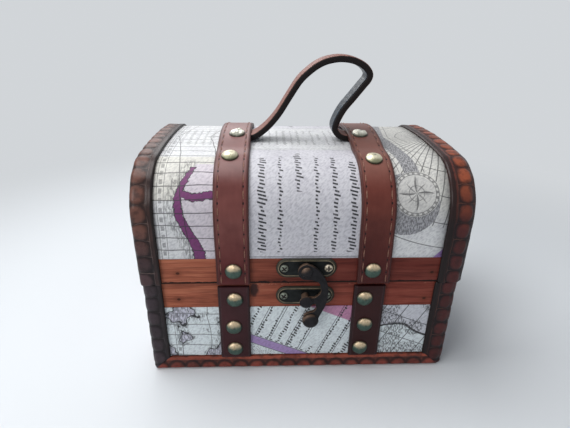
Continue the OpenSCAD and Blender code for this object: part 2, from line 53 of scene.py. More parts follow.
camera_data = bpy.data.cameras.new("camera")
camera_data.sensor_width = 36
camera_data.lens = FOCAL_PIXELS * camera_data.sensor_width / VIEW_PIXELS
camera_data.clip_start = 0.01
camera = bpy.data.objects.new("camera", camera_data)
camera.matrix_world = (Matrix.Translation(EYE) @ Matrix.Rotation(radians(TURN_DEG), 4, "Z")
                       @ Matrix.Rotation(radians(90 - DOWN_DEG), 4, "X")
                       @ Matrix.Rotation(radians(ROLL_DEG), 4, "Z"))
bpy.context.collection.objects.link(camera)
bpy.context.scene.camera = camera
bpy.context.scene.view_settings.view_transform = "Standard"


def lamp(name, place_mm, aim_mm, size_mm, watts, colour=(1, 1, 1)):
    """A square soft box that hangs at one place and faces another"""
    data = bpy.data.lights.new(name, "AREA")
    data.shape = "SQUARE"
    data.size = size_mm * MM
    data.energy = watts
    data.color = colour
    box = bpy.data.objects.new(name, data)
    box.location = Vector(place_mm) * MM
    facing = Vector(aim_mm) * MM - box.location
    box.rotation_euler = facing.to_track_quat("-Z", "Y").to_euler()
    bpy.context.collection.objects.link(box)


lamp("top_lamp", (-220, 40, 620), (0, 0, 80), 420, 3.3)
lamp("back_lamp", (-160, 620, 470), (0, 0, 80), 380, 1.1)
lamp("front_lamp", (-460, -500, 420), (0, 0, 60), 360, 2.0)
lamp("right_lamp", (560, -260, 260), (0, 0, 60), 300, 0.2)


class Value:
    """A number, colour or shader in a node tree. Sums on it add Math nodes to that tree."""

    def __init__(self, nodes, socket):
        self.nodes, self.socket = nodes, socket

    def sum(self, operation, *values): return self.nodes.sum(operation, *values)

    def __add__(self, other): return self.sum("ADD", self, other)
    def __radd__(self, other): return self.sum("ADD", other, self)
    def __sub__(self, other): return self.sum("SUBTRACT", self, other)
    def __rsub__(self, other): return self.sum("SUBTRACT", other, self)
    def __mul__(self, other): return self.sum("MULTIPLY", self, other)
    def __rmul__(self, other): return self.sum("MULTIPLY", other, self)
    def __truediv__(self, other): return self.sum("DIVIDE", self, other)
    def __abs__(self): return self.sum("ABSOLUTE", self)

    def rounded(self, pitch): return self.sum("ROUND", self / pitch)
    def least(self, other): return self.sum("MINIMUM", self, other)
    def most(self, other): return self.sum("MAXIMUM", self, other)
    def reach(self, other): return self.sum("SQRT", self * self + other * other)

    def above(self, edge, soft):
        """1 where the value is over the edge and 0 under it, with a soft step between"""
        return self.nodes.node("MapRange", {"interpolation_type": "SMOOTHSTEP"}, {
            "Value": self, "From Min": edge - soft, "From Max": edge + soft})

    def below(self, edge, soft): return 1 - self.above(edge, soft)
    def within(self, half, soft): return abs(self).below(half, soft)

    def to_line(self, pitch):
        """Distance to the nearest of a row of lines that are one pitch apart"""
        return self.sum("PINGPONG", self, pitch / 2)


class Nodes:
    """The node tree of a world or material, and the shader that it starts with"""

    def __init__(self, owner, shader_name, **settings):
        owner.use_nodes = True
        self.owner, self.tree = owner, owner.node_tree
        self.shader = self.tree.nodes[shader_name]
        for socket, value in settings.items():
            label = socket.replace("_", " ").title().replace("Ior", "IOR")
            self.shader.inputs[label].default_value = value

    def node(self, kind, settings, inputs, output=0):
        """Adds one node: its settings first, then the values or links of its sockets"""
        made = self.tree.nodes.new("ShaderNode" + kind)
        for name, value in settings.items():
            if name == "stops":
                while len(made.color_ramp.elements) < len(value):
                    made.color_ramp.elements.new(1)
                for stop, (place, colour) in zip(made.color_ramp.elements, value):
                    stop.position, stop.color = place, (*colour, 1)
            else:
                setattr(made, name, value)
        for name, value in inputs.items():
            if isinstance(value, Value):
                self.tree.links.new(value.socket, made.inputs[name])
            else:
                made.inputs[name].default_value = value
        return Value(self, made.outputs[output])

    def sum(self, operation, *values):
        """Arithmetic on numbers, as one Math node"""
        return self.node("Math", {"operation": operation}, dict(enumerate(values)))

    def fade_to(self, factor, other):
        """Shows another shader over its own by as much as the factor says"""
        own = Value(self, self.shader.outputs[0])
        both = self.node("MixShader", {}, {0: factor, 1: own, 2: other})
        for end in self.tree.nodes:
            if end.type.startswith("OUTPUT"):
                self.tree.links.new(both.socket, end.inputs["Surface"])


class Finish(Nodes):
    """A material under construction"""

    def __init__(self, name, **settings):
        super().__init__(bpy.data.materials.new(name), "Principled BSDF", **settings)

    def millimetres(self, source="Object"):
        """Coordinates in millimetres: those of the object, or the piece's own flat ones"""
        if source == "Object":
            place = self.node("TexCoord", {}, {}, "Object")
        else:
            place = self.node("UVMap", {"uv_map": source}, {})
        return self.node("VectorMath", {"operation": "SCALE"}, {0: place, "Scale": 1 / MM})

    def part(self, vector, axis): return self.node("SeparateXYZ", {}, {0: vector}, axis)

    def stretched(self, vector, x, y, z):
        return self.node("VectorMath", {"operation": "MULTIPLY"}, {0: vector, 1: (x, y, z)})

    def cloud(self, vector, size, detail=2, roughness=0.5, output=0):
        """Noise from 0 to 1 whose patches are about one size across, in millimetres"""
        return self.node("TexNoise", {}, {"Vector": vector, "Scale": 1 / size,
                                          "Detail": detail, "Roughness": roughness}, output)

    def cells(self, vector, size, output="Distance", feature="F1"):
        return self.node("TexVoronoi", {"feature": feature},
                         {"Vector": vector, "Scale": 1 / size}, output)

    def ramp(self, factor, *stops): return self.node("ValToRGB", {"stops": stops}, {0: factor})

    def mix(self, factor, first, second, blend="MIX"):
        def colour(value): return value if isinstance(value, Value) else (*value, 1)
        return self.node("Mix", {"data_type": "RGBA", "blend_type": blend},
                         {0: factor, 6: colour(first), 7: colour(second)}, 2)

    def set(self, colour=None, roughness=None, metallic=None, bumps=()):
        """Joins the finished values to the shader; bumps are (height, depth in mm) pairs"""
        for name, value in (("Base Color", colour), ("Roughness", roughness),
                            ("Metallic", metallic)):
            if value is not None:
                self.tree.links.new(value.socket, self.shader.inputs[name])
        normal = None
        for height, depth in bumps:
            links = {"Height": height, "Distance": depth * MM, "Strength": 1.0}
            if normal:
                links["Normal"] = normal
            normal = self.node("Bump", {}, links)
        if normal:
            self.tree.links.new(normal.socket, self.shader.inputs["Normal"])
        return self.owner


WALL = (0.72, 0.75, 0.78)
FAR_PAPER = (0.64, 0.665, 0.69)


def seen(nodes):
    """1 for the rays of the camera and of glossy or clear surfaces, 0 for those that light"""
    camera_ray, glossy_ray, clear_ray = (
        nodes.node("LightPath", {}, {}, f"Is {kind} Ray")
        for kind in ("Camera", "Glossy", "Transmission"))
    return camera_ray.most(glossy_ray).most(clear_ray)


room = Nodes(bpy.data.worlds.new("room"), "Background", color=(*WALL, 1), strength=0.28)
bpy.context.scene.world = room.owner
room.fade_to(seen(room), room.node("Background", {}, {"Color": (*FAR_PAPER, 1)}))

paper = Finish("pale_backdrop", base_color=(*WALL, 1), roughness=0.7)
from_chest = paper.node("VectorMath", {"operation": "LENGTH"}, {0: paper.millimetres()}, "Value")
paper.fade_to(from_chest.above(290, 130) * seen(paper),
              paper.node("Emission", {}, {"Color": (*FAR_PAPER, 1)}))


def carried(geom, kind):
    return [item for item in geom if isinstance(item, kind)]


def carry(bm, edges, move):
    """Extrudes edges and moves the new ones on; gives the new edges and vertices"""
    made = bmesh.ops.extrude_edge_only(bm, edges=edges)["geom"]
    verts = carried(made, bmesh.types.BMVert)
    bmesh.ops.translate(bm, vec=move, verts=verts)
    return carried(made, bmesh.types.BMEdge), verts


def joined(bm, name, finish):
    """Turns a finished bmesh into an object at the origin"""
    mesh = bpy.data.meshes.new(name)
    bm.to_mesh(mesh)
    bm.free()
    mesh.materials.append(finish)
    made = bpy.data.objects.new(name, mesh)
    bpy.context.collection.objects.link(made)
    return made


# from the front to the back of the table, round a quarter turn and up the wall
sheet = bmesh.new()
verts = [sheet.verts.new((x, -1.6, 0)) for x in (-2.4, 2.4)]
edges, verts = carry(sheet, [sheet.edges.new(verts)], (0, 2.4, 0))
edges = carried(bmesh.ops.spin(sheet, geom=edges + verts, cent=(0, 0.8, 0.5), axis=(1, 0, 0),
                               angle=pi / 2, steps=16)["geom_last"], bmesh.types.BMEdge)
carry(sheet, edges, (0, 0, 1.4))
for face in sheet.faces:
    face.smooth = True
backdrop = joined(sheet, "backdrop", paper.owner)

# ---- Boards of the case and lid ----
# Solid softwood about five millimetres thick, glued at the corners and stained red-brown.
# The stain took unevenly, so the bands run from orange at the left to deep red at the right.
KNOTS_APART = 31


def board_finish(name, grain_axis, shade=1.0, knots=(), parting=False):
    """Stained softwood whose grain runs along one axis. At the parting line a ragged black band is
    painted shadow of the gap between lid and case, the edges are splintered here and there, and
    the lid's boards are painted in shade towards the right."""
    wood = Finish(name, roughness=0.5, specular_ior_level=0.12)
    place = wood.millimetres()
    along = wood.part(place, grain_axis)
    stretch = [0.05 if axis == grain_axis else 1.0 for axis in "XYZ"]
    grain_place = wood.stretched(place, *stretch)
    fine = wood.cloud(grain_place, 0.55, 4, 0.65)
    broad = wood.cloud(grain_place, 4.5, 3, 0.6)
    blotch = wood.cloud(place, 22, 2)
    knot = wood.cells(wood.stretched(place, *[0.4 * s + 0.5 for s in stretch]), KNOTS_APART)
    for knot_x, knot_z in knots:
        above = (wood.part(place, "Z") - knot_z) * 1.265
        knot = knot.least((along - knot_x).reach(above) / KNOTS_APART)
    knot_spot = knot.below(0.028, 0.01)
    knot_halo = knot.below(0.07, 0.05)
    tone = fine * 0.45 + broad * 0.55 + (blotch - 0.5) * 0.35
    stain = wood.ramp(tone, (0.25, (0.14 * shade, 0.035 * shade, 0.02 * shade)),
                      (0.47, (0.4 * shade, 0.125 * shade, 0.07 * shade)),
                      (0.75, (0.62 * shade, 0.25 * shade, 0.14 * shade)))
    streak = wood.cloud(wood.stretched(grain_place, 0.6, 0.6, 0.6), 1.0, 3, 0.6)
    stain = wood.mix(streak.above(0.57, 0.08) * 0.45, stain, (0.1, 0.025, 0.016))
    to_right = (along + blotch * 26).above(-12, 58)
    stain = wood.mix(to_right, stain, (0.5, 0.34, 0.42), "MULTIPLY")
    stain = wood.mix(knot_halo * 0.5, stain, (0.14, 0.035, 0.018))
    stain = wood.mix(knot_spot * 0.85, stain, (0.03, 0.012, 0.008))
    if parting:
        up = wood.part(place, "Z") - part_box("lid_front_board")[0][2] / MM
        ragged = (wood.cloud(wood.stretched(place, 0.35, 0.35, 0.35), 1.0, 4, 0.7) - 0.5) * 2.2
        # Painted shade: the lid's boards are darker towards the right.
        shaded = up.above(0, 0.2) * (along + blotch * 20).above(-12, 26)
        stain = wood.mix(shaded, stain, (0.66, 0.62, 0.66), "MULTIPLY")
        ragged = ragged * (1 + (along + 12).within(8, 5) * 1.5)
        splinter = (up + 1.2 + ragged * 0.6).within(0.28, 0.2) * ragged.above(0.25, 0.2)
        stain = wood.mix(splinter * 0.4, stain, (0.5, 0.27, 0.18))
        # Painted shadow of the gap between lid and case: a ragged black band along the parting
        # line.
        stain = wood.mix((up - 0.2 + ragged * 0.6).within(0.7, 0.2), stain,
                         (0.012, 0.006, 0.005))
        scorch = (along + 22.6).reach((up + 4.4) * 0.55) + ragged * 0.6
        stain = wood.mix(scorch.below(2.2, 0.8) * 0.9, stain, (0.02, 0.012, 0.014))
    return wood.set(stain, 0.42 + fine * 0.22, bumps=((fine, 0.06), (broad, 0.12)))


def coat(finish, *node_names):
    """Puts a finish on solids of the frame"""
    for node_name in node_names:
        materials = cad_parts[node_name].data.materials
        materials.clear()
        materials.append(finish)


lengthwise_wood = board_finish("stained_wood_lengthwise", "X", parting=True,
                               knots=((-58, 58.5), (-59, 43.1), (62.5, 58.1), (61.4, 42.3)))
coat(lengthwise_wood, "case_front_board", "case_back_board", "lid_front_board",
     "lid_back_board")
coat(board_finish("stained_wood_crosswise", "Y"), "case_left_board", "case_right_board",
     "lid_left_end", "lid_right_end")
coat(board_finish("stained_plywood", "X", 0.7), "case_floor", "lid_dome_skin")

# ---- Map covering ----
# Thin embossed covering with a made-up chart printed on it, glued over the lid in one
# sheet and on each face of the case. Its edges stop at the leather trims.
PAPER_MM = 0.4
(_, lid_front, lid_bottom), (_, _, spring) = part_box("lid_front_board")
lid_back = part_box("lid_back_board")[1][1]
dome_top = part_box("lid_dome_skin")[1][2]
lid_middle = (lid_front + lid_back) / 2
wall_height = spring - lid_bottom
shoulder_radius = 23.7 * MM
shoulder_offset = (lid_back - lid_front) / 2 - shoulder_radius
rise = dome_top - spring
crown_radius = ((rise ** 2 - shoulder_radius ** 2 + shoulder_offset ** 2)
                / (2 * (rise - shoulder_radius)))
crown_centre = dome_top - crown_radius
crown_angle = atan2(shoulder_offset, spring - crown_centre)
shoulder_turn = pi / 2 - crown_angle
shoulder_arc = shoulder_radius * shoulder_turn
crown_arc = crown_radius * 2 * crown_angle
way_round = 2 * wall_height + 2 * shoulder_arc + crown_arc


def unroll(point):
    """How far round the lid a point is from its lower front edge, and how far it stands
    out from the boards"""
    y, z = point[1] - lid_middle, point[2]
    tilt = atan2(y, z - crown_centre)
    if z < spring:
        round_front = z - lid_bottom
        lift = abs(y) - shoulder_offset - shoulder_radius
    elif abs(tilt) <= crown_angle:
        return (wall_height + shoulder_arc + crown_radius * (tilt + crown_angle),
                hypot(y, z - crown_centre) - crown_radius)
    else:
        turn = atan2(z - spring, abs(y) - shoulder_offset)
        round_front = wall_height + shoulder_radius * turn
        lift = hypot(z - spring, abs(y) - shoulder_offset) - shoulder_radius
    return (round_front if y < 0 else way_round - round_front), lift


def wrap(x, along, lift):
    """The point of the lid so far round it and out from its boards, and the way out"""
    side = -1 if along < way_round / 2 else 1
    near_end = min(along, way_round - along)
    if near_end < wall_height:
        out = Vector((0, side, 0))
        return Vector((x, lid_middle + side * (shoulder_offset + shoulder_radius + lift),
                       lid_bottom + near_end)), out
    if near_end < wall_height + shoulder_arc:
        turn = (near_end - wall_height) / shoulder_radius
        out = Vector((0, side * cos(turn), sin(turn)))
        centre = Vector((x, lid_middle + side * shoulder_offset, spring))
        return centre + out * (shoulder_radius + lift), out
    tilt = (along - way_round / 2) / crown_radius
    out = Vector((0, sin(tilt), cos(tilt)))
    return Vector((x, lid_middle, crown_centre)) + out * (crown_radius + lift), out


def outline(bm, corners, round_corners=(), radius_mm=0, step_mm=None):
    """Draws a closed level outline, rounds some of its corners, and divides its long edges"""
    verts = [bm.verts.new(corner) for corner in corners]
    for start, end in zip(verts, verts[1:] + verts[:1]):
        bm.edges.new((start, end))
    if radius_mm:
        bmesh.ops.bevel(bm, geom=[verts[i] for i in round_corners], offset=radius_mm * MM,
                        affect="VERTICES", segments=4, profile=0.5, material=-1)
    if step_mm:
        for line in bm.edges[:]:
            cuts = ceil(line.calc_length() / (step_mm * MM)) - 1
            if cuts > 0:
                bmesh.ops.subdivide_edges(bm, edges=[line], cuts=cuts)


def climb(bm, edges, verts, height, step_mm):
    """Carries an outline straight up or down, in rows about one step high"""
    rows = max(1, round(abs(height) / (step_mm * MM)))
    for _ in range(rows):
        edges, verts = carry(bm, edges, (0, 0, height / rows))
    return edges, verts


def sweep_over_lid(bm, bottom, step_mm):
    """Carries an outline, level at the lid's front, up the front, over the dome and down
    the back"""
    edges, verts = climb(bm, bm.edges[:], bm.verts[:], spring - bottom, step_mm)
    for centre_y, centre_z, turn, length in (
            (lid_middle - shoulder_offset, spring, shoulder_turn, shoulder_arc),
            (lid_middle, crown_centre, 2 * crown_angle, crown_arc),
            (lid_middle + shoulder_offset, spring, shoulder_turn, shoulder_arc)):
        made = bmesh.ops.spin(bm, geom=edges + verts, cent=(0, centre_y, centre_z),
                              axis=(-1, 0, 0), angle=turn,
                              steps=max(3, round(length / step_mm / MM)))["geom_last"]
        edges, verts = carried(made, bmesh.types.BMEdge), carried(made, bmesh.types.BMVert)
    climb(bm, edges, verts, bottom - spring, step_mm)
    bmesh.ops.remove_doubles(bm, verts=bm.verts, dist=0.001 * MM)


def close_ends(bm):
    """Caps the open ends of a swept bar and points its faces outwards"""
    bmesh.ops.holes_fill(bm, edges=[edge for edge in bm.edges if edge.is_boundary], sides=0)
    bmesh.ops.recalc_face_normals(bm, faces=bm.faces)
    bm.normal_update()


def lay_flat(bm, flat_place):
    """Gives each corner its place, in metres, on the flattened piece"""
    layer = bm.loops.layers.uv.new("flat")
    for face in bm.faces:
        for loop in face.loops:
            loop[layer].uv = flat_place(loop.vert)


def fit_piece(bm, name, body, slot, finish, *nodes, smooth=True):
    """Turns a finished bmesh into a piece of the chest in the place of its CAD solids"""
    for face in bm.faces:
        face.smooth = smooth and len(face.verts) < 5
    made = joined(bm, name, finish)
    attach(made, body)
    if nodes:
        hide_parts(*nodes)


def ink(distance, width):
    """A drawn line: 1 where the distance to its middle is under half its width"""
    return distance.within(width / 2, 0.1)


def chance(chart, first, second):
    """A fixed random number from 0 to 1 for each pair of whole numbers"""
    pair = chart.node("CombineXYZ", {}, {"X": first, "Y": second})
    return chart.node("TexWhiteNoise", {"noise_dimensions": "2D"}, {"Vector": pair}, 0)


def ticks(chart, over, along, pitch, step, size):
    """Rows of short upright strokes of unequal length, with a gap here and there"""
    row, place = over.rounded(pitch), along.rounded(step)
    off_row, off_place = over - row * pitch, along - place * step
    reach = chance(chart, place + 40, row)
    half = (0.35 + reach * 0.65) * (0.5 + chance(chart, row, 7.0) * 0.8) * size
    kept = chance(chart, row + 90, along.rounded(step * 6)).above(0.16, 0.01)
    lean = off_row + (chance(chart, row, place + 7) - 0.5) * size * 0.7
    return ink(off_place + lean * 0.25, 0.86) * (abs(lean) - half).below(0, 0.1) * kept


def ladder(away, along):
    """A border of two thin lines with dashes between them"""
    return ink(abs(away) - 1.5, 0.26).most(
        away.within(0.75, 0.1) * along.to_line(4.2).below(1.15, 0.1) * 0.7)


def tufts(chart, place, size=0.7):
    """Short upright hachures"""
    return chart.cloud(chart.stretched(place, 1, 0.3, 1), size, 2).above(0.5, 0.07)


def compass(chart, from_x, from_y, radius):
    """A compass rose: its drawing and the disc that it fills"""
    reach = from_x.reach(from_y)
    bearing = chart.sum("ARCTAN2", from_y, from_x) + 10 * pi
    long_points = (chart.sum("PINGPONG", bearing, pi / 4) * 18 + reach).below(radius - 2.4, 0.1)
    short_points = (chart.sum("PINGPONG", bearing + pi / 4, pi / 4) * 14 + reach).below(
        radius - 4.2, 0.1)
    halves = chart.sum("SINE", bearing * 8).above(0, 0.05)
    outlines = ink(reach - radius + 0.4, 0.3).most(ink(reach - radius + 1.7, 0.24)).most(
        ink(reach - radius * 0.33, 0.24))
    ring_dashes = ((reach - radius + 1.05).within(0.55, 0.1)
                   * chart.sum("SINE", bearing * 24).above(0, 0.2))
    drawing = outlines.most(ring_dashes * 0.7).most(long_points * (halves * 0.6 + 0.25)).most(
        short_points * halves * 0.6)
    return drawing, reach.below(radius, 0.1)


def islands(chart, place, size, level):
    """Small islands: their outline, the sea hachures round them and their land"""
    height = chart.cloud(place, size, 3, 0.45) - level
    return (ink(height * size, 0.35), height.above(-0.06, 0.02) * tufts(chart, place),
            height.above(0, 0.01))


def print_on(chart, flat, lines, washes):
    """Prints washes of colour and black lines on the grained white covering"""
    mottle = chart.cloud(flat, 9, 3)
    grain_place = chart.node("Mapping", {}, {"Vector": flat, "Rotation": (0, 0, 0.8)})
    grain = chart.cloud(chart.stretched(grain_place, 1, 0.45, 1), 0.85, 2)
    colour = chart.ramp(mottle, (0.3, (0.63, 0.63, 0.65)), (0.7, (0.74, 0.75, 0.75)))
    for amount, wash in washes:
        colour = chart.mix(amount, colour, wash)
    rub = chart.cloud(flat, 1.1, 3).above(0.34, 0.12)
    colour = chart.mix(lines * (0.6 + rub * 0.4), colour, (0.02, 0.02, 0.024))
    # Painted shade in the hollows of the embossed grain.
    colour = chart.mix(grain.below(0.46, 0.14) * 0.4, colour, (0.4, 0.4, 0.45), "MULTIPLY")
    return chart.set(colour, 0.42 + mottle * 0.2, bumps=((grain, 0.2), (mottle, 0.12)))


DEEP_PURPLE, PALE_PURPLE = (0.16, 0.025, 0.13), (0.34, 0.2, 0.48)
PINK_WASH, CREAM_WASH, SHADE = (0.58, 0.47, 0.56), (0.64, 0.61, 0.5), (0.3, 0.3, 0.33)
CASE_WHITE = (0.74, 0.84, 0.87)


def lid_chart():
    """The lid's print: a ruled coast at the left, rows of ticks in the middle, and a compass
    rose on a shaded channel at the right. The back half repeats the front half."""
    chart = Finish("chart_print_lid", roughness=0.5)
    flat = chart.millimetres("flat")
    across = chart.part(flat, "X")
    up = chart.sum("PINGPONG", chart.part(flat, "Y"), way_round / MM / 2)
    wander = chart.cloud(flat, 26, 2) - 0.5
    jagged = chart.cloud(flat, 1.5, 2) - 0.5
    left, right = across.below(-30, 1), across.above(32, 1)
    middle = (1 - left) * (1 - right)

    bank = across + 51 - chart.sum("SINE", up / 8.5) * 4.2
    inlet = up - 35 + across * 0.2 - chart.sum("SINE", across / 3.5) * 1.4
    shore = (abs(bank) - 3.1 + up * 0.035).least((abs(inlet) - 1.7).most(-54.5 - across))
    shore = (shore + jagged * 2.2).most(up - 58)
    sea = shore.below(4.5, 1.5) * bank.below(0, 1) * tufts(chart, flat) * shore.above(0, 0.1)
    coast = (shore.below(0, 0.08) * left, ink(shore, 0.4).most(sea * 0.55) * left)
    inland = bank.above(0, 0.3) * up.below(60, 0.3) * left

    grid = ink((up + wander * 3).to_line(6.1), 0.46).most(
        ink((across + wander * 4 + up * up * 0.0012).to_line(17), 0.4)) * (1 - middle)
    rows = ticks(chart, across + 2, up + wander, 8.2, 1.7, 1.7)
    rows = rows * up.above(17, 0.1) * (up + abs(across + 2) * 0.3).below(70, 0.1) * middle
    far_rows = (ticks(chart, across, up, 3.7, 1.6, 0.9) * (up - 82).above(0, 0.1)
                * (1 - right) * 0.55)
    frame_lines = (ink(up - 14.6, 0.3).most(ink(up - 75, 0.3)).most(ink(up - 76.6, 0.24))
                   * middle)
    wedge = up.below(13.6, 0.1) * across.below(-4, 0.2) * middle

    channel = across - 51 + (up - 44) * 0.16
    bay = (across - 46.5).reach(up - 40) - 14.5
    shaded = (abs(channel) - 3.6).most(44 - up).least(bay).below(0, 0.1) * right
    drawing, disc = compass(chart, across - 50.5, up - 45, 10.5)
    fan_x, fan_y = across - 76, up - 102
    fan_reach = fan_x.reach(fan_y)
    fan = ink(chart.sum("PINGPONG", chart.sum("ARCTAN2", fan_y, fan_x) + 9, pi / 90)
              * fan_reach, 0.46) * fan_reach.below(74, 0.3)
    fan = fan.most(ink(fan_reach.to_line(12), 0.42)) * right
    corner = (across - 59 - (up - 11) * 0.9).above(0, 0.1)

    clear = (1 - disc) * (1 - shaded)
    lines = (grid * 0.85 * (1 - right)).most(coast[1]).most(rows).most(far_rows)
    lines = lines.most(frame_lines * 0.7).most(wedge * tufts(chart, flat, 0.5) * 0.8)
    lines = lines.most(ladder(across + 62.5 + wander, up) * 0.75).most(fan * 0.8 * clear)
    lines = lines.most(shaded * (1 - disc) * tufts(chart, flat, 0.5) * 0.6)
    lines = lines.most(ink(abs(channel) - 5.8, 0.3) * right * up.above(55, 0.1) * 0.8)
    lines = lines.most(drawing * 0.85)
    return print_on(chart, flat, lines, (
        (middle * up.below(75, 1) * 0.55, (0.55, 0.53, 0.6)), (inland * 0.5, PINK_WASH),
        ((left * up.above(42, 0.2) * up.below(66, 0.2) * (1 - inland)).most(
            right * up.above(34, 8) * 0.8) * 0.5, CREAM_WASH),
        (shaded * 0.75, SHADE), (disc * 0.8, (0.66, 0.65, 0.62)), (wedge * 0.5, SHADE),
        (coast[0] * (1 - middle), DEEP_PURPLE), (corner * (1 - disc), PALE_PURPLE)))


def case_chart(name, start, along_axis):
    """The case's print: islands on a ruled sea, with slanting rows of ticks, a coloured edge
    and a stippled field between the straps, and a dark river at the right"""
    chart = Finish(name, roughness=0.5)
    body_place = chart.millimetres()
    across, up = chart.part(body_place, along_axis) + start, chart.part(body_place, "Z")
    flat = chart.node("CombineXYZ", {}, {"X": across, "Y": up})
    wander = chart.cloud(flat, 20, 2) - 0.5
    left, right = across.below(-32, 0.5), across.above(33, 0.5)
    middle = (1 - left) * (1 - right)
    place = chart.node("Mapping", {}, {"Vector": flat, "Location": (3, 9, 0)})
    outlines, shallows, land = islands(chart, place, 13, 0.56)
    slant = chart.node("Mapping", {}, {"Vector": flat, "Rotation": (0, 0, radians(24))})
    over, along = chart.part(slant, "X"), chart.part(slant, "Y")

    grid = ink((up + wander * 2 + across * 0.03).to_line(6.7), 0.44).most(
        ink((across + wander * 5).to_line(15), 0.36))
    rows = ticks(chart, over, along, 5.6, 1.6, 1.2) * (along - 11).above(0, 0.2)
    double = ink(abs(over.to_line(16.8) - 5) - 0.6, 0.3)
    band = (along - 7.2).within(2.2, 0.1)
    edges = ink(abs(along - 7.2) - 2.4, 0.36).most(
        ink(along - 10.4, 0.6) * (across.to_line(2.6) - 0.7).above(0, 0.1))
    stipple = chart.cells(flat, 0.8).below(0.33, 0.1) * (along - 4.6).below(0, 0.2)
    river = up - 24 - chart.sum("SINE", across / 6) * 4 + wander * 6
    bearings = ink((across - up * 0.55).to_line(11), 0.5).most(
        ink((across * 0.4 + up).to_line(13), 0.4))
    field = chart.cloud(flat, 14, 2).above(0.47, 0.02)
    magenta = (along - 37).above(0, 0.4) * middle * up.below(45, 0.2)

    lines = (grid * 0.8).most(outlines).most(shallows * 0.65) * left
    lines = lines.most(ladder(across + 61, up) * 0.8 * left)
    lines = lines.most(rows.most(double * (along - 10).above(0, 0.2)).most(edges)
                       .most(stipple * 0.6) * middle)
    lines = lines.most((bearings * 0.95).most(ink(river, 1.25)).most(
        field * tufts(chart, flat, 0.5) * 0.8) * right)
    return print_on(chart, flat, lines, (
        (0.6, CASE_WHITE), (land * left * 0.5, (0.5, 0.44, 0.6)),
        (band * middle * 0.9, PALE_PURPLE), (river.above(0, 0.3) * right * 0.5, (0.46, 0.42, 0.5)),
        (stipple * middle * 0.3, SHADE), (magenta * 0.75, (0.42, 0.04, 0.22))))


cover = bmesh.new()
(_, _, cover_low), (half_cover, _, _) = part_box("lid_map")
cover_front = lid_front - PAPER_MM * MM
outline(cover, [(-half_cover, lid_front, cover_low), (half_cover, lid_front, cover_low),
                (half_cover, cover_front, cover_low), (-half_cover, cover_front, cover_low)],
        step_mm=8)
sweep_over_lid(cover, cover_low, 2)
close_ends(cover)
lay_flat(cover, lambda vert: (vert.co.x, unroll(vert.co)[0]))
fit_piece(cover, "lid_cover", "lid", "map_covering", lid_chart(), "lid_map")


def case_panel(face_name, finish):
    """The flat sheet of the covering on one face of the case"""
    node_name = f"case_{face_name}_map"
    low, high = map(Vector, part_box(node_name))
    panel = bmesh.new()
    bmesh.ops.create_cube(panel, size=1)
    bmesh.ops.scale(panel, vec=high - low, verts=panel.verts)
    bmesh.ops.translate(panel, vec=(high + low) / 2, verts=panel.verts)
    rim = [edge for edge in panel.edges if edge.calc_length() > 2 * PAPER_MM * MM]
    bmesh.ops.bevel(panel, geom=rim, offset=0.1 * MM, affect="EDGES", segments=2, profile=0.5,
                    material=-1)
    fit_piece(panel, f"case_{face_name}_cover", "case", "map_covering", finish, node_name,
              smooth=False)


face_print = case_chart("chart_print_case", 0, "X")
end_print = case_chart("chart_print_ends", 14, "Y")
for face_name, face_finish in (("front", face_print), ("back", face_print),
                               ("left", end_print), ("right", end_print)):
    case_panel(face_name, face_finish)
coat(end_print, "lid_left_map", "lid_right_map")

# ---- Edge trims of the lid ----
# Belly leather pressed with a row of pillows, folded round each end of the lid and glued.
# The left one has worn to a dull brown, the right one is redder and glossier.
TRIM_MM, TRIM_THICK_MM, FOLD_MM = 8.5, 1.6, 2.2
STEP_ACROSS, STEP_ALONG = 0.55, 0.7
TILE_PITCH, TILE_START, TILE_HALF_ALONG = 8.3, 3.0, 4.3
EDGE_TILES = {"centre": 2.8, "half": 3.9, "border": 6.9, "edge": 8.5, "square": 2.3}
WIDE_TILES = {"centre": 3.0, "half": 4.4, "border": 7.6, "edge": 9.8, "square": 2.3}
FOOT_TILES = {"centre": 1.5, "half": 5.2, "border": 7.1, "edge": 9.8, "square": 1.9}
PUFF_MM = {-1: 0.4, 1: 2.0}


def pillow(across, along, tiles):
    """Height of the pressed pattern, in mm: 1 on a pillow's crown, 0 in its groove"""
    step = (along - TILE_START + TILE_PITCH / 2) % TILE_PITCH - TILE_PITCH / 2
    q = (abs(across - tiles["centre"]) / tiles["half"]) ** tiles["square"] + (
        abs(step) / TILE_HALF_ALONG) ** tiles["square"]
    return sqrt(max(0.0, 1 - q)) if across > -3 else 0.0


def press_pillows(bm, flat_place, tiles, depth_mm=0.42, puff_mm=0):
    """Pushes the leather's face in round the pillows and lets it wander a little. A
    padded trim also stands out further at the chest's ends."""
    bm.normal_update()
    for vert in bm.verts:
        vert.co.x += puff_mm * MM * vert.normal.x * abs(vert.normal.x)
    bm.normal_update()
    for vert in bm.verts:
        across, along = (value / MM for value in flat_place(vert))
        if across < tiles["edge"] - 0.8:
            ripple = noise.noise(vert.co * 190) * 0.14
            drop = (1 - pillow(across + ripple, along + ripple * 2, tiles)) * depth_mm
            if across > tiles["border"]:
                drop = depth_mm * 0.4
            vert.co -= vert.normal * (drop + ripple - 0.1) * MM


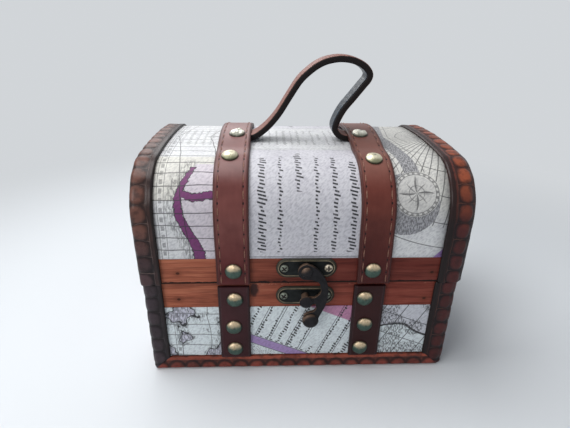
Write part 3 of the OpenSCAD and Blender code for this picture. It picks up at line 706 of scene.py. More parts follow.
def belly_leather(name, shades, rub_colour, rub, seed, tiles=EDGE_TILES):
    """Pressed leather: colours of groove, crown and border in a darker copy low on the chest and a
    lighter copy high up, which are painted shade and painted light
    """
    hide = Finish(name, coat_weight=0.33, coat_roughness=0.26, specular_ior_level=0.04)
    flat = hide.millimetres("flat")
    place = hide.millimetres()
    wander = hide.cloud(place, 5, 2) - 0.5
    across = hide.part(flat, "X") + wander * 1.1
    along = hide.part(flat, "Y") + wander * 1.4
    up = hide.part(place, "Z")
    part_across = hide.sum("POWER", abs(across - tiles["centre"]) / tiles["half"],
                           tiles["square"])
    part_along = hide.sum("POWER", (along - TILE_START).to_line(TILE_PITCH) / TILE_HALF_ALONG,
                          tiles["square"])
    q = part_across + part_along
    crown = q.below(0.62, 0.42)
    groove = (q - 1).within(0.3, 0.2)
    border = (across - tiles["border"]).above(0.2, 0.15)
    bend = wander * 1.6 + part_across * 0.3
    ridge = (ink(across - tiles["border"], 0.3) * 0.6).most(
        ink((along + bend - TILE_START).to_line(TILE_PITCH) - TILE_PITCH / 2, 0.3) * (1 - border)
        * (tiles["square"] > 2))
    grain = hide.cells(place, 0.55)
    creases = hide.cloud(place, 1.6, 4, 0.6)
    tile = hide.node("TexWhiteNoise", {"noise_dimensions": "1D"},
                     {"W": (along - TILE_START).rounded(TILE_PITCH) + seed}, 0)
    wear_and_light = hide.cloud(place, 9, 3)
    # Painted light and shade: each colour has a darker copy low on the chest and a lighter one
    # high up, with a wandering edge between; each pillow's crown is painted lighter than the
    # hollow round it.
    high = (up + (wear_and_light - 0.5) * 22).above(shades["turn"], 14)
    shaded_colour = hide.mix(border, hide.mix(crown, *shades["low"][:2]), shades["low"][2])
    lit_colour = hide.mix(border, hide.mix(crown, *shades["high"][:2]), shades["high"][2])
    colour = hide.mix(high, shaded_colour, lit_colour)
    colour = hide.mix(1, colour, hide.mix(tile * 0.6 + creases * 0.5, (0.6, 0.6, 0.6),
                                          (1.3, 1.25, 1.2)), "MULTIPLY")
    stain = hide.cloud(hide.stretched(place, 0.6, 0.6, 0.6), 2.4, 4, 0.6)
    colour = hide.mix(stain.above(0.55, 0.12) * 0.55, colour, (0.02, 0.012, 0.012))
    # Painted shade in the grooves between the pillows, weaker high up.
    colour = hide.mix(groove * (0.7 - high * 0.25), colour, (0.014, 0.009, 0.01))
    colour = hide.mix(ridge * wear_and_light.above(0.52, 0.08) * rub, colour, rub_colour)
    # Painted shade along the trim's inner cut edge, next to the covering.
    painted_edge_shade = (across - tiles["edge"]).above(-0.6, 0.3)
    colour = hide.mix(painted_edge_shade * 0.85, colour, (0.012, 0.008, 0.008))
    height = crown * 0.6 + ridge * 0.5 + creases * 0.4
    return hide.set(colour, 0.3 + creases * 0.25 + groove * 0.15,
                    bumps=((height, 0.45), (grain, 0.05)))


# In each table the low colours are painted shade and the high ones painted light.
left_leather = belly_leather("belly_leather_left", {
    "low": ((0.02, 0.013, 0.015), (0.064, 0.036, 0.041), (0.04, 0.022, 0.022)),
    "high": ((0.045, 0.023, 0.019), (0.135, 0.06, 0.046), (0.038, 0.02, 0.018)), "turn": 74},
    (0.34, 0.23, 0.21), 0.45, 3, WIDE_TILES)
left_corner_leather = belly_leather("belly_leather_left_corners", {
    "low": ((0.013, 0.009, 0.012), (0.043, 0.03, 0.038), (0.02, 0.013, 0.016)),
    "high": ((0.018, 0.012, 0.015), (0.055, 0.035, 0.042), (0.026, 0.015, 0.017)),
    "turn": 66}, (0.16, 0.12, 0.13), 0.3, 9)
right_leather = belly_leather("belly_leather_right", {
    "low": ((0.016, 0.006, 0.008), (0.075, 0.018, 0.018), (0.022, 0.009, 0.01)),
    "high": ((0.06, 0.016, 0.011), (0.27, 0.07, 0.035), (0.12, 0.032, 0.024)), "turn": 93},
    (0.4, 0.16, 0.1), 0.25, 7)


def trim_outline(bm, outer_x, outer_y, z, side, face_mm=TRIM_MM):
    """The trim's section: an angle folded round the outer corner, seen from above"""
    thick, wide, lap = TRIM_THICK_MM * MM, face_mm * MM, TRIM_MM * MM
    outline(bm, [(side * (outer_x - in_x), in_y - outer_y, z) for in_x, in_y in (
        (0, 0), (wide, 0), (wide, thick), (thick, thick), (thick, lap), (0, lap))],
            (0,), FOLD_MM, STEP_ACROSS)


TRIM_FINISH = {-1: left_leather, 1: right_leather}
CORNER_FINISH = {-1: left_corner_leather, 1: right_leather}
SIDE_TILES = {-1: WIDE_TILES, 1: EDGE_TILES}
SIDE_NAME = {-1: "left", 1: "right"}
for side in (-1, 1):
    node_name = "lid_trim_" + SIDE_NAME[side]
    trim_low, trim_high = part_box(node_name)
    edge_x = max(abs(trim_low[0]), abs(trim_high[0]))

    def flat_trim(vert):
        along, lift = unroll(vert.co)
        return edge_x - abs(vert.co.x) - (TRIM_THICK_MM * MM - lift), along

    trim = bmesh.new()
    trim_outline(trim, edge_x, -trim_low[1], trim_low[2], side, SIDE_TILES[side]["edge"])
    sweep_over_lid(trim, trim_low[2], STEP_ALONG)
    close_ends(trim)
    press_pillows(trim, flat_trim, SIDE_TILES[side], puff_mm=PUFF_MM[side])
    lay_flat(trim, flat_trim)
    fit_piece(trim, node_name + "_leather", "lid", "corner_leather", TRIM_FINISH[side],
              node_name)

# ---- Corner and foot trims of the case ----
# The same pressed leather, one angle folded round each upright corner and one strip round
# the foot of each face. They meet in mitres, and the foot is rounded where it is turned in.
FOOT_MM, FOOT_ROUND_MM, ROW_MM, CORNER_PAD = 8.0, 2.0, 0.65, 0.7
case_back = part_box("case_back_board")[1][1]
outer_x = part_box("case_front_board")[1][0] + TRIM_THICK_MM * MM
outer_y = case_back + TRIM_THICK_MM * MM
mitre = Vector((FOOT_MM, 0, -TRIM_MM)).normalized()


def turn_in_foot(bm):
    """Rounds the leather in under the foot of the case"""
    radius, thick = FOOT_ROUND_MM * MM, TRIM_THICK_MM * MM
    for vert in bm.verts:
        vert.co.z = max(vert.co.z, 0)
        if vert.co.z < radius:
            pull = radius - sqrt(radius ** 2 - (radius - vert.co.z) ** 2)
            pull = min(pull, thick - 0.3 * MM)
            for axis, outside in ((0, outer_x), (1, outer_y)):
                depth = outside - abs(vert.co[axis])
                if depth < thick:
                    share = 1 - depth / thick
                    vert.co[axis] -= (1 if vert.co[axis] > 0 else -1) * pull * share


def cut_off(bm, place, direction):
    """Cuts away what lies beyond a plane"""
    bmesh.ops.bisect_plane(bm, geom=bm.verts[:] + bm.edges[:] + bm.faces[:],
                           plane_co=place, plane_no=direction, clear_outer=True)


def flat_corner(vert):
    """How far a corner trim's leather is from its fold, and how far up"""
    from_fold = (outer_x - abs(vert.co.x)) - (outer_y - abs(vert.co.y))
    return abs(from_fold), vert.co.z + 3.5 * MM


for side in (-1, 1):
    for face_name, face_side in (("front", -1), ("back", 1)):
        node_name = f"corner_trim_{face_name}_{SIDE_NAME[side]}"
        trim = bmesh.new()
        trim_outline(trim, outer_x, outer_y, 0, side)
        climb(trim, trim.edges[:], trim.verts[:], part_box(node_name)[1][2], ROW_MM)
        close_ends(trim)
        corner = (side * outer_x, -outer_y, 0)
        cut_off(trim, corner, (-side * mitre.x, 0, mitre.z))
        cut_off(trim, corner, (0, mitre.x, mitre.z))
        if face_side > 0:
            bmesh.ops.scale(trim, vec=(1, -1, 1), verts=trim.verts)
        close_ends(trim)
        press_pillows(trim, flat_corner, EDGE_TILES, puff_mm=PUFF_MM[side] * CORNER_PAD)
        turn_in_foot(trim)
        lay_flat(trim, flat_corner)
        fit_piece(trim, node_name + "_leather", "case", "corner_leather", CORNER_FINISH[side],
                  node_name)

foot_shades = ((0.12, 0.034, 0.025), (0.24, 0.052, 0.038), (0.32, 0.076, 0.048))
foot_leather = belly_leather("belly_leather_foot", {
    "low": foot_shades, "high": foot_shades, "turn": 30}, (0.4, 0.15, 0.1), 0.4, 5, FOOT_TILES)
for face_name, long_axis, turn in (("front", 0, 0), ("back", 0, pi),
                                   ("left", 1, -pi / 2), ("right", 1, pi / 2)):
    node_name = "base_trim_" + face_name
    half, depth = (outer_y, outer_x) if long_axis else (outer_x, outer_y)

    def flat_foot(vert):
        return vert.co.z + 1.2 * MM, vert.co[long_axis]

    foot = bmesh.new()
    inner = depth - TRIM_THICK_MM * MM
    outline(foot, [(-half, -depth, 0), (-half, -inner, 0), (-half, -inner, FOOT_MM * MM),
                   (-half, -depth, FOOT_MM * MM)], (3,), 0.4, 0.5)
    edges, rows = foot.edges[:], round(2 * half / (ROW_MM * MM))
    for _ in range(rows):
        edges = carry(foot, edges, (2 * half / rows, 0, 0))[0]
    close_ends(foot)
    for end in (-1, 1):
        cut_off(foot, (end * half, -depth, 0), (end * mitre.x, 0, -mitre.z))
        cut_off(foot, (end * half, -depth, 0), (end, -1, 0))
    close_ends(foot)
    bmesh.ops.rotate(foot, matrix=Matrix.Rotation(turn, 3, "Z"), verts=foot.verts)
    press_pillows(foot, flat_foot, FOOT_TILES)
    turn_in_foot(foot)
    lay_flat(foot, flat_foot)
    fit_piece(foot, node_name + "_leather", "case", "base_leather", foot_leather, node_name)

# ---- Straps ----
# Two straps of smooth, waxed maroon leather nailed over the case. The lid's run from its
# lower edge over the dome, swell over the handle's tabs, and have a mock stitch row
# along each edge. The case's are plain.
STRAP_THICK_MM, STRAP_OUT_MM, STRAP_ROUND_MM, STRAP_STEP = 1.8, 2.2, 0.7, 1.2
CASE_STRAP_HALF, CASE_STRAP_X = 7.6, {-1: -32.3, 1: 33.3}
STITCH_PITCH, STITCH_INSET = 6.8, 2.2
SWELL_LONG, SWELL_RISE, SWELL_MIDDLE = 46.0, 3.3, 1.0
strap_low, strap_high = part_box("lid_strap_right")
strap_half = (strap_high[0] - strap_low[0]) / 2
swell_radius = ((SWELL_LONG / 2) ** 2 + SWELL_RISE ** 2) / (2 * SWELL_RISE)


def swell(y_mm):
    """How far a strap rises over the handle's tab, in millimetres"""
    away = y_mm - SWELL_MIDDLE
    over = SWELL_RISE - away ** 2 / (2 * swell_radius) + y_mm ** 2 * MM / (2 * crown_radius)
    return (over + sqrt(over ** 2 + 0.2)) / 2


def laid(side, along):
    """Where the middle of a lid strap lies; the right one was laid a little askew by hand"""
    up = min(along / (75 * MM), (way_round - along) / (75 * MM), 1)
    return (-32.0 if side < 0 else 34.2 - 1.6 * up) * MM


def strap_finish(name, dark, mid, light, stitched, half_width):
    """Waxed leather, painted in shade low down and at its edges and with painted sheen and
    highlights, with rows of stitch holes or none
    """
    strap = Finish(name, coat_weight=0.3, coat_roughness=0.32, specular_ior_level=0.05)
    flat = strap.millimetres("flat")
    place = strap.millimetres()
    across, along = abs(strap.part(flat, "X")), strap.part(flat, "Y")
    grain = strap.cells(place, 0.6)
    pores = strap.cloud(place, 0.9, 3)
    streak = strap.cloud(strap.stretched(flat, 1, 0.12, 1), 2.2, 3)
    patch = strap.cloud(place, 16, 3)
    colour = strap.ramp(streak * 0.15 + patch * 0.85, (0.3, dark), (0.5, mid), (0.72, light))
    # Painted shade: darker low on the chest.
    painted_shade_low = (strap.part(place, "Z") + patch * 16).below(84, 18)
    colour = strap.mix(painted_shade_low, colour, (0.5, 0.24, 0.27), "MULTIPLY")
    # Dust and painted sheen: a pale pinkish grey on top of the dome.
    dust_and_painted_sheen = (strap.part(place, "Z") + patch * 6).above(108, 6)
    colour = strap.mix(dust_and_painted_sheen * 0.3, colour, (0.42, 0.3, 0.29))
    to_right = strap.part(place, "X").above(0, 20)
    colour = strap.mix(to_right, colour, (0.78, 0.62, 0.52), "MULTIPLY")
    # Darker edges: partly burnished leather, partly painted shade.
    edge = (across - half_width).above(-1.15, 0.6)
    colour = strap.mix(edge * 0.75, colour, tuple(part * 0.3 for part in mid))
    # Painted highlight: a lighter line along each rim of the strap.
    rim = (across - half_width + 1.25).within(0.18, 0.15)
    colour = strap.mix(rim * 0.25 * pores.above(0.45, 0.1), colour, light)
    bumps = [(grain, 0.035), (pores, 0.08)]
    if stitched:
        row = across - (half_width - STITCH_INSET)
        step = along.to_line(STITCH_PITCH)
        hole = (row * row + step * step * 0.4).below(0.12, 0.08)
        gutter = row.within(0.4, 0.3)
        # Painted shade in the stitch gutter, and the stitch holes painted near-black as shade.
        colour = strap.mix(gutter * 0.3, colour, dark)
        colour = strap.mix(hole * 0.95, colour, (0.008, 0.005, 0.005))
        bumps.append((1 - gutter * 0.5 - hole * 0.5, 0.35))
    return strap.set(colour, 0.3 + pores * 0.2 + patch * 0.08, bumps=bumps)


lid_strap_leather = strap_finish("waxed_strap_leather", (0.11, 0.032, 0.029),
                                 (0.165, 0.053, 0.047), (0.23, 0.08, 0.07), True,
                                 strap_half / MM)
case_strap_leather = strap_finish("dark_strap_leather", (0.055, 0.027, 0.031),
                                  (0.075, 0.036, 0.041), (0.11, 0.06, 0.065), False,
                                  CASE_STRAP_HALF)


def strap_outline(bm, half, front, back, z):
    """A strap's section seen from above, with its outer corners rounded"""
    outline(bm, [(-half, -front, z), (half, -front, z), (half, -back, z), (-half, -back, z)],
            (0, 1), STRAP_ROUND_MM, STRAP_STEP)


def soften_ends(strap):
    """Closes a strap and rounds over its cut ends"""
    close_ends(strap)
    ends = [edge for edge in strap.edges if any(len(face.verts) > 4 for face in edge.link_faces)]
    bmesh.ops.bevel(strap, geom=ends, offset=0.25 * MM, affect="EDGES", segments=2,
                    profile=0.5, material=-1)


def facing_matrix(point, out):
    """Places a nail head's or stitch's local up along the chest's up, its top facing out"""
    right = Vector((0, 0, 1)).cross(out)
    right = right.normalized() if right.length > 0.01 else Vector((1, 0, 0))
    return Matrix.Translation(point) @ Matrix(
        (right, out.cross(right), out)).transposed().to_4x4()


thread = Finish("waxed_thread", roughness=0.6)
twist = thread.cloud(thread.millimetres(), 0.5, 2)
thread.set(thread.ramp(twist, (0.3, (0.12, 0.042, 0.03)), (0.7, (0.31, 0.15, 0.095))),
           0.5 + twist * 0.2, bumps=((twist, 0.08),))

for side in (-1, 1):
    node_name = "lid_strap_" + SIDE_NAME[side]
    low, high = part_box(node_name)
    strap = bmesh.new()
    strap_outline(strap, strap_half, STRAP_OUT_MM * MM - lid_front,
                  (STRAP_OUT_MM - STRAP_THICK_MM) * MM - lid_front, low[2])
    sweep_over_lid(strap, low[2], STRAP_STEP)
    soften_ends(strap)
    for vert in strap.verts:
        along = unroll(vert.co)[0]
        wave = noise.noise(Vector((side * 3, along * 60, vert.co.x * 20))) * 0.12 * MM
        if vert.co.z > spring:
            vert.co += wrap(0, along, 0)[1] * swell(vert.co.y / MM) * MM
        vert.co.x += laid(side, along) + wave
    lay_flat(strap, lambda vert: (vert.co.x - laid(side, unroll(vert.co)[0]),
                                  unroll(vert.co)[0]))
    fit_piece(strap, node_name + "_leather", "lid", "strap_leather", lid_strap_leather,
              node_name)

    threads = bmesh.new()
    for index in range(int(way_round / MM / STITCH_PITCH)):
        along = (index + 0.5) * STITCH_PITCH * MM
        for row in (-1, 1):
            x = laid(side, along) + row * (strap_half - STITCH_INSET * MM)
            point, out = wrap(x, along, STRAP_OUT_MM * MM)
            if point.z < low[2] + 2 * MM:
                continue
            if point.z > spring:
                point += out * swell(point.y / MM) * MM
            stitch = bmesh.ops.create_uvsphere(threads, u_segments=8, v_segments=5,
                                               radius=0.5)["verts"]
            bmesh.ops.transform(threads, verts=stitch, matrix=facing_matrix(point, out)
                                @ Matrix.Diagonal((0.6 * MM, 4.4 * MM, 0.5 * MM, 1)))
    fit_piece(threads, node_name + "_thread", "lid", "strap_leather", thread.owner)

for face_name, face_side in (("front", -1), ("back", 1)):
    for side in (-1, 1):
        node_name = f"case_strap_{face_name}_{SIDE_NAME[side]}"
        low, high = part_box(node_name)
        half = (high[0] - low[0]) / 2
        strap = bmesh.new()
        strap_outline(strap, half, case_back + STRAP_OUT_MM * MM,
                      case_back + (STRAP_OUT_MM - STRAP_THICK_MM) * MM, low[2])
        climb(strap, strap.edges[:], strap.verts[:], high[2] - low[2], STRAP_STEP)
        soften_ends(strap)
        if face_side > 0:
            bmesh.ops.rotate(strap, matrix=Matrix.Rotation(pi, 3, "Z"), verts=strap.verts)
        lay_flat(strap, lambda vert: (vert.co.x, vert.co.z))
        bmesh.ops.translate(strap, vec=(CASE_STRAP_X[side] * MM, 0, 0), verts=strap.verts)
        fit_piece(strap, node_name + "_leather", "case", "strap_leather", case_strap_leather,
                  node_name)

# ---- Studs and rivets ----
# Domed nails of brass-plated steel hold the straps, and two flatter, dented rivets hold the
# handle's tabs. A teal-green reflection is painted on their lower parts.
STUD_RADIUS = 4.0
STUD_SIZES, SHOULDER_SIZES = (STUD_RADIUS, 2.2, 0.25), (STUD_RADIUS, 2.2, 0.15)
RIVET_SIZES = (4.1, 2.4, 0.7)
CASE_NAILS = ((-31.8, 44.2), (-32.8, 27.7), (-32.7, 14.1),
              (31.0, 44.3), (32.4, 28.5), (31.2, 13.8))
LID_NAILS = ((-31.8, 8.0), (33.2, 7.9))
SHOULDER_NAILS = ((-33, 14), (32.8, 19))
RIVETS = ((-31.1, -11.4), (30.8, -11.4))


def brass_finish(name, bright, dull, reflection_colour, crinkle, reflection_from):
    """Crinkled brass plating with a painted teal-green reflection on its lower part"""
    brass = Finish(name, metallic=0.85)
    flat = brass.millimetres("flat")
    place = brass.millimetres()
    right, up = brass.part(flat, "X"), brass.part(flat, "Y")
    out = right.reach(up)
    spots = brass.cloud(place, 0.9, 3)
    dents = brass.cells(place, 1.1, feature="SMOOTH_F1")
    # Painted reflection: the lower part of each head is painted teal-green.
    painted_reflection = (up * -0.55 + (spots - 0.5) * 1.4 + out * 0.1).above(reflection_from, 0.7)
    colour = brass.ramp(spots, (0.3, dull), (0.65, bright))
    colour = brass.mix(painted_reflection * 0.92, colour, reflection_colour)
    colour = brass.mix(out.above(STUD_RADIUS - 0.3, 0.25) * 0.8, colour, (0.02, 0.018, 0.012))
    off_x, off_y = right - 0.3, up - 0.4
    dimple = (off_x * off_x + off_y * off_y * 2 + spots).below(0.9, 0.35)
    colour = brass.mix(dimple * 0.6, colour, (0.03, 0.045, 0.045))
    return brass.set(colour, 0.35 + spots * 0.2 + painted_reflection * 0.08,
                     bumps=((dents, crinkle), (spots, crinkle * 0.5)))


stud_brass = brass_finish("stud_brass", (0.74, 0.58, 0.4), (0.42, 0.32, 0.19),
                          (0.024, 0.08, 0.072), 0.22, -0.6)
shoulder_brass = brass_finish("shoulder_stud_brass", (0.8, 0.75, 0.58), (0.58, 0.52, 0.36),
                              (0.2, 0.2, 0.12), 0.14, 1.3)
# The rivets' near-white colours are painted glare.
rivet_brass = brass_finish("rivet_brass", (0.95, 0.94, 0.84), (0.62, 0.6, 0.5),
                           (0.2, 0.2, 0.16), 0.35, 1.5)


def lathe(bm, profile, steps):
    """Spins a profile of radii and heights, in millimetres, and gives its corners"""
    line = [bm.verts.new((radius * MM, 0, height * MM)) for radius, height in profile]
    edges = [bm.edges.new(pair) for pair in zip(line, line[1:])]
    bmesh.ops.spin(bm, geom=line + edges, cent=(0, 0, 0), axis=(0, 0, 1), angle=2 * pi,
                   steps=steps, use_merge=True)
    bmesh.ops.remove_doubles(bm, dist=0.002 * MM,
                             verts=[vert for vert in bm.verts if not vert.tag])
    corners = [vert for vert in bm.verts if not vert.tag]
    for vert in corners:
        vert.tag = True
    return corners


def dome(bm, frame_at, radius_mm, height_mm, dent_mm, seed):
    """Adds one nail head: a spun profile with a turned-in rim, dented here and there"""
    crown = [(radius_mm * sin(turn), height_mm * cos(turn)) for turn in
             (pi / 2 * step / 7 for step in range(8))]
    corners = lathe(bm, crown + [(radius_mm * 0.97, -0.18), (radius_mm * 0.86, -0.2)], 24)
    layer = bm.verts.layers.float_vector["local"]
    for vert in corners:
        vert[layer] = vert.co
        bump = noise.noise(Vector((vert.co.x, vert.co.y, seed * MM * 9)) * 420) * dent_mm * MM
        if vert.co.z > 0:
            vert.co.z += bump * min(1, vert.co.z / (0.5 * MM))
    bmesh.ops.transform(bm, matrix=frame_at, verts=corners)


def nail_heads(name, body, finish, sizes, places, *nodes, slot="stud_brass"):
    """A set of heads of one radius, height and depth of dents, in millimetres. Each place
    is a point, the way out and perhaps a turn."""
    heads = bmesh.new()
    layer = heads.verts.layers.float_vector.new("local")
    for seed, (point, out, *turn) in enumerate(places):
        spot = facing_matrix(point, out) @ Matrix.Rotation(radians(sum(turn)), 4, "Z")
        dome(heads, spot, *sizes, seed + 1)
    bmesh.ops.recalc_face_normals(heads, faces=heads.faces)
    lay_flat(heads, lambda vert: vert[layer][:2])
    heads.verts.layers.float_vector.remove(layer)
    fit_piece(heads, name, body, slot, finish, *nodes)


strap_seat = STRAP_OUT_MM * MM
for face_name, face_side in (("front", -1), ("back", 1)):
    face_y, out = face_side * (case_back + strap_seat), Vector((0, face_side, 0))
    nail_heads(f"case_{face_name}_nail_heads", "case", stud_brass, STUD_SIZES,
               [(Vector((x * MM, face_y, z * MM)), out) for x, z in CASE_NAILS],
               "case_studs_" + face_name)
    nail_heads(f"lid_{face_name}_nail_heads", "lid", stud_brass, STUD_SIZES,
               [wrap(x * MM, up * MM if face_side < 0 else way_round - up * MM, strap_seat)
                for x, up in LID_NAILS], "lid_studs_" + face_name)
nail_heads("shoulder_nail_heads", "lid", shoulder_brass, SHOULDER_SIZES,
           [wrap(x * MM, wall_height + shoulder_radius * radians(90 - tilt), strap_seat)
            for x, tilt in SHOULDER_NAILS], "lid_studs_shoulder")
swell_centre = dome_top / MM + STRAP_OUT_MM + SWELL_RISE - swell_radius
rivet_places = []
for x, y in RIVETS:
    slope = (y - SWELL_MIDDLE) / swell_radius
    out = Vector((0, slope, sqrt(1 - slope ** 2)))
    rivet_places.append((Vector((x, SWELL_MIDDLE, swell_centre)) * MM
                         + out * swell_radius * MM, out))
nail_heads("handle_rivet_heads", "lid", rivet_brass, RIVET_SIZES, rivet_places,
           "handle_rivets")

# ---- Carrying handle ----
# One strip of two-ply leather, brown outside, glazed black inside under a painted blue sheen, and
# with inked edges.
# Its ends lie under the straps, held by the rivets, and the loop leans to the right.
HANDLE_LINE = ((-25.2, 0), (-22.5, 0.9), (-19.7, 2.5), (-15.1, 6.5), (-10.2, 12.4),
               (-5.3, 20.2), (-0.2, 28), (4.5, 32.6), (9.1, 35.8), (13.7, 37.6), (19.5, 38.4),
               (25.6, 37.6), (30.6, 35.2), (33.4, 32), (33.2, 29.2), (30.9, 26.1),
               (26.5, 20.4), (22, 14.6), (19, 8.6), (18.3, 5), (19.8, 2.3), (22.9, 0.5),
               (27.7, 0))
HANDLE_THICK, EDGE_ROUND = 3.2, 0.4
handle_low, handle_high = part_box("carry_handle")
handle_base = dome_top / MM + PAPER_MM + HANDLE_THICK / 2


def curve(points, steps):
    """A smooth line through points"""
    line = [Vector(point) for point in points]
    found = []
    for index in range(len(line) - 1):
        before, start = line[max(index - 1, 0)], line[index]
        end, after = line[index + 1], line[min(index + 2, len(line) - 1)]
        for step in range(steps):
            t = step / steps
            found.append(0.5 * (2 * start + (end - before) * t
                                + (2 * before - 5 * start + 4 * end - after) * t * t
                                + (3 * start - before - 3 * end + after) * t ** 3))
    return found + [line[-1]]


rope = [Vector((handle_low[0] / MM, 0, 0)), *curve([(x, 0, z) for x, z in HANDLE_LINE], 6),
        Vector((handle_high[0] / MM, 0, 0))]
rope = [Vector((point.x, 0, max(point.z, 0) + handle_base)) * MM for point in rope]

grip = bmesh.new()
around = grip.verts.layers.float.new("around")
gone = grip.verts.layers.float.new("gone")
half_thick = HANDLE_THICK / 2 * MM
handle_wide = (handle_high[1] - handle_low[1]) / MM
outline(grip, [(rope[0].x, handle_low[1], rope[0].z + half_thick),
               (rope[0].x, handle_high[1], rope[0].z + half_thick),
               (rope[0].x, handle_high[1], rope[0].z - half_thick),
               (rope[0].x, handle_low[1], rope[0].z - half_thick)], (0, 1, 2, 3), 0.9, 1.2)
GRIP_ROUND = 2 * (handle_wide + HANDLE_THICK)
for vert in grip.verts:
    y, z = (vert.co.y - handle_low[1]) / MM, (vert.co.z - rope[0].z + half_thick) / MM
    vert[around] = (y if z > HANDLE_THICK - EDGE_ROUND else
                    GRIP_ROUND - (HANDLE_THICK - z) if y < EDGE_ROUND else
                    handle_wide + HANDLE_THICK - z if y > handle_wide - EDGE_ROUND else
                    2 * handle_wide + HANDLE_THICK - y)
edges = grip.edges[:]
tilts = [0] + [atan2(after.z - before.z, after.x - before.x)
               for before, after in zip(rope, rope[2:])] + [0]
length = 0
for index in range(1, len(rope)):
    edges, verts = carry(grip, edges, (0, 0, 0))
    turn = tilts[index] - tilts[index - 1]
    bmesh.ops.transform(grip, verts=verts, matrix=Matrix.Translation(rope[index])
                        @ Matrix.Rotation(-turn, 4, "Y")
                        @ Matrix.Translation(-rope[index - 1]))
    length += (rope[index] - rope[index - 1]).length
    for vert in verts:
        vert[gone] = length
close_ends(grip)
for vert in grip.verts:
    vert.co.y += noise.noise(Vector((vert.co.x, 0, vert.co.z)) * 45) * 0.25 * MM
layer = grip.loops.layers.uv.new("flat")
for face in grip.faces:
    reach = max(loop.vert[around] for loop in face.loops)
    for loop in face.loops:
        place = loop.vert[around]
        if reach - place > GRIP_ROUND / 2:
            place += GRIP_ROUND
        loop[layer].uv = place * MM, loop.vert[gone]

hide = Finish("handle_leather", specular_ior_level=0.18)
flat, place = hide.millimetres("flat"), hide.millimetres()
across, along = hide.part(flat, "X"), hide.part(flat, "Y")
outside = (across - handle_wide / 2).within(handle_wide / 2 - 0.15, 0.2)
inside = (across - (1.5 * handle_wide + HANDLE_THICK)).within(handle_wide / 2 - 0.1, 0.2)
grain, pores = hide.cells(place, 0.6), hide.cloud(place, 1.1, 4, 0.6)
creases = hide.cloud(hide.stretched(flat, 0.4, 1, 1), 1.8, 2)
streak = hide.cloud(hide.stretched(flat, 1, 0.1, 1), 1.8, 3)
colour = hide.ramp(streak * 0.5 + pores * 0.5, (0.3, (0.13, 0.05, 0.04)),
                   (0.7, (0.3, 0.155, 0.13)))
colour = hide.mix(outside.below(0.5, 0.4), colour, (0.008, 0.005, 0.005))
rubbed = ink(abs(across - handle_wide / 2) - (handle_wide / 2 - 0.7), 0.5) * pores.above(0.5, 0.1)
colour = hide.mix(rubbed * 0.4, colour, (0.46, 0.25, 0.2))
# Black glaze under a painted blue reflection, lighter on the raised creases as painted highlights.
black_glaze_painted_sheen = hide.ramp(creases, (0.4, (0.005, 0.011, 0.022)), (0.7, (0.028, 0.05, 0.08)))
colour = hide.mix(inside, colour, black_glaze_painted_sheen)
hide.set(colour, 0.45 - inside * 0.25 + pores * 0.15,
         bumps=((grain, 0.05), (creases * inside, 0.25), (pores, 0.06)))
fit_piece(grip, "handle_strip", "lid", "handle_leather", hide.owner, "carry_handle")

# ---- Latch ----
# A cast swing hook turns on a rivet in the upper plate and closes round a post on the
# lower one. All of it is steel with an antique bronze wash, rubbed bright on the plates' rims; on
# the hook, pivot and post, what faces up and to the left is painted light in brown.
LATCH_X, PIVOT_Z, POST_Z = 2.2, 61.3, 45.2
PLATE_LONG, PLATE_HIGH, PLATE_THICK, RIM_INSET = 28.5, 10.3, 1.0, 1.15
PLATE_SEAT = {"lid": 52.1, "case": 51.1}
HOOK_BACK, HOOK_THICK = 55.1, 1.6
HOOK_OUTER = ((0, 4.2), (3.2, 2.7), (5.8, 0.4), (8.4, -3.2), (10, -7.4), (10.4, -12),
              (9.7, -17.4), (7.9, -22.5), (6.6, -25.5))
HOOK_UNDER = ((-1.2, -25), (0.2, -23.6), (2, -22.8), (4, -22.1), (5.1, -20.2), (4.6, -18))
HOOK_INNER = ((4.1, -14.2), (6.4, -12.1), (7, -9.6), (6.2, -6.6), (4, -4.6), (0, -4.2))


def bronze_finish(name, dark, wear_and_light, wear_and_light_part):
    """Antique bronze wash with a lighter colour where a given part says: brass worn bright on the
    plates' rims, painted light on the hook
    """
    bronze = Finish(name, metallic=0.3, specular_ior_level=0.15)
    place = bronze.millimetres()
    blotch = bronze.cloud(place, 2.6, 4, 0.6)
    pitting = bronze.cloud(place, 0.5, 2)
    colour = bronze.ramp(blotch, (0.3, dark), (0.7, tuple(part * 2.4 for part in dark)))
    colour = bronze.mix(wear_and_light_part(bronze) * (0.35 + pitting * 0.65), colour, wear_and_light)
    return bronze.set(colour, 0.34 + blotch * 0.22, bumps=((pitting, 0.06), (blotch, 0.12)))


def plate_rim(bronze):
    """The thin raised rim of both plates, about a millimetre inside their edges"""
    place = bronze.millimetres()
    past_middle = abs(bronze.part(place, "X") - LATCH_X) - (PLATE_LONG - PLATE_HIGH) / 2
    aside = past_middle.most(0)
    above = abs(bronze.part(place, "Z") - (PIVOT_Z + POST_Z) / 2) - (PIVOT_Z - POST_Z) / 2
    from_middle = aside.reach(above)
    rim = (PLATE_HIGH / 2 - RIM_INSET - from_middle).within(0.22, 0.12)
    flange = (from_middle - PLATE_HIGH / 2 + RIM_INSET).above(0, 0.2)
    patchy = bronze.cloud(place, 3.2, 2).above(0.46, 0.22) * 0.65 + 0.35
    return (rim * patchy).most(flange * 0.14)


def painted_light_top_left(bronze):
    """What faces upwards and to the left, where light is painted on"""
    facing = bronze.node("TexCoord", {}, {}, "Normal")
    return (bronze.part(facing, "Z") * 0.85 - bronze.part(facing, "X") * 0.5).above(0.5, 0.35)


plate_bronze = bronze_finish("plate_bronze", (0.008, 0.009, 0.009), (0.38, 0.31, 0.2), plate_rim)
# The hook's brown, where it faces up and to the left, is painted light.
hook_bronze = bronze_finish("hook_bronze", (0.009, 0.0085, 0.0095), (0.2, 0.125, 0.085),
                            painted_light_top_left)


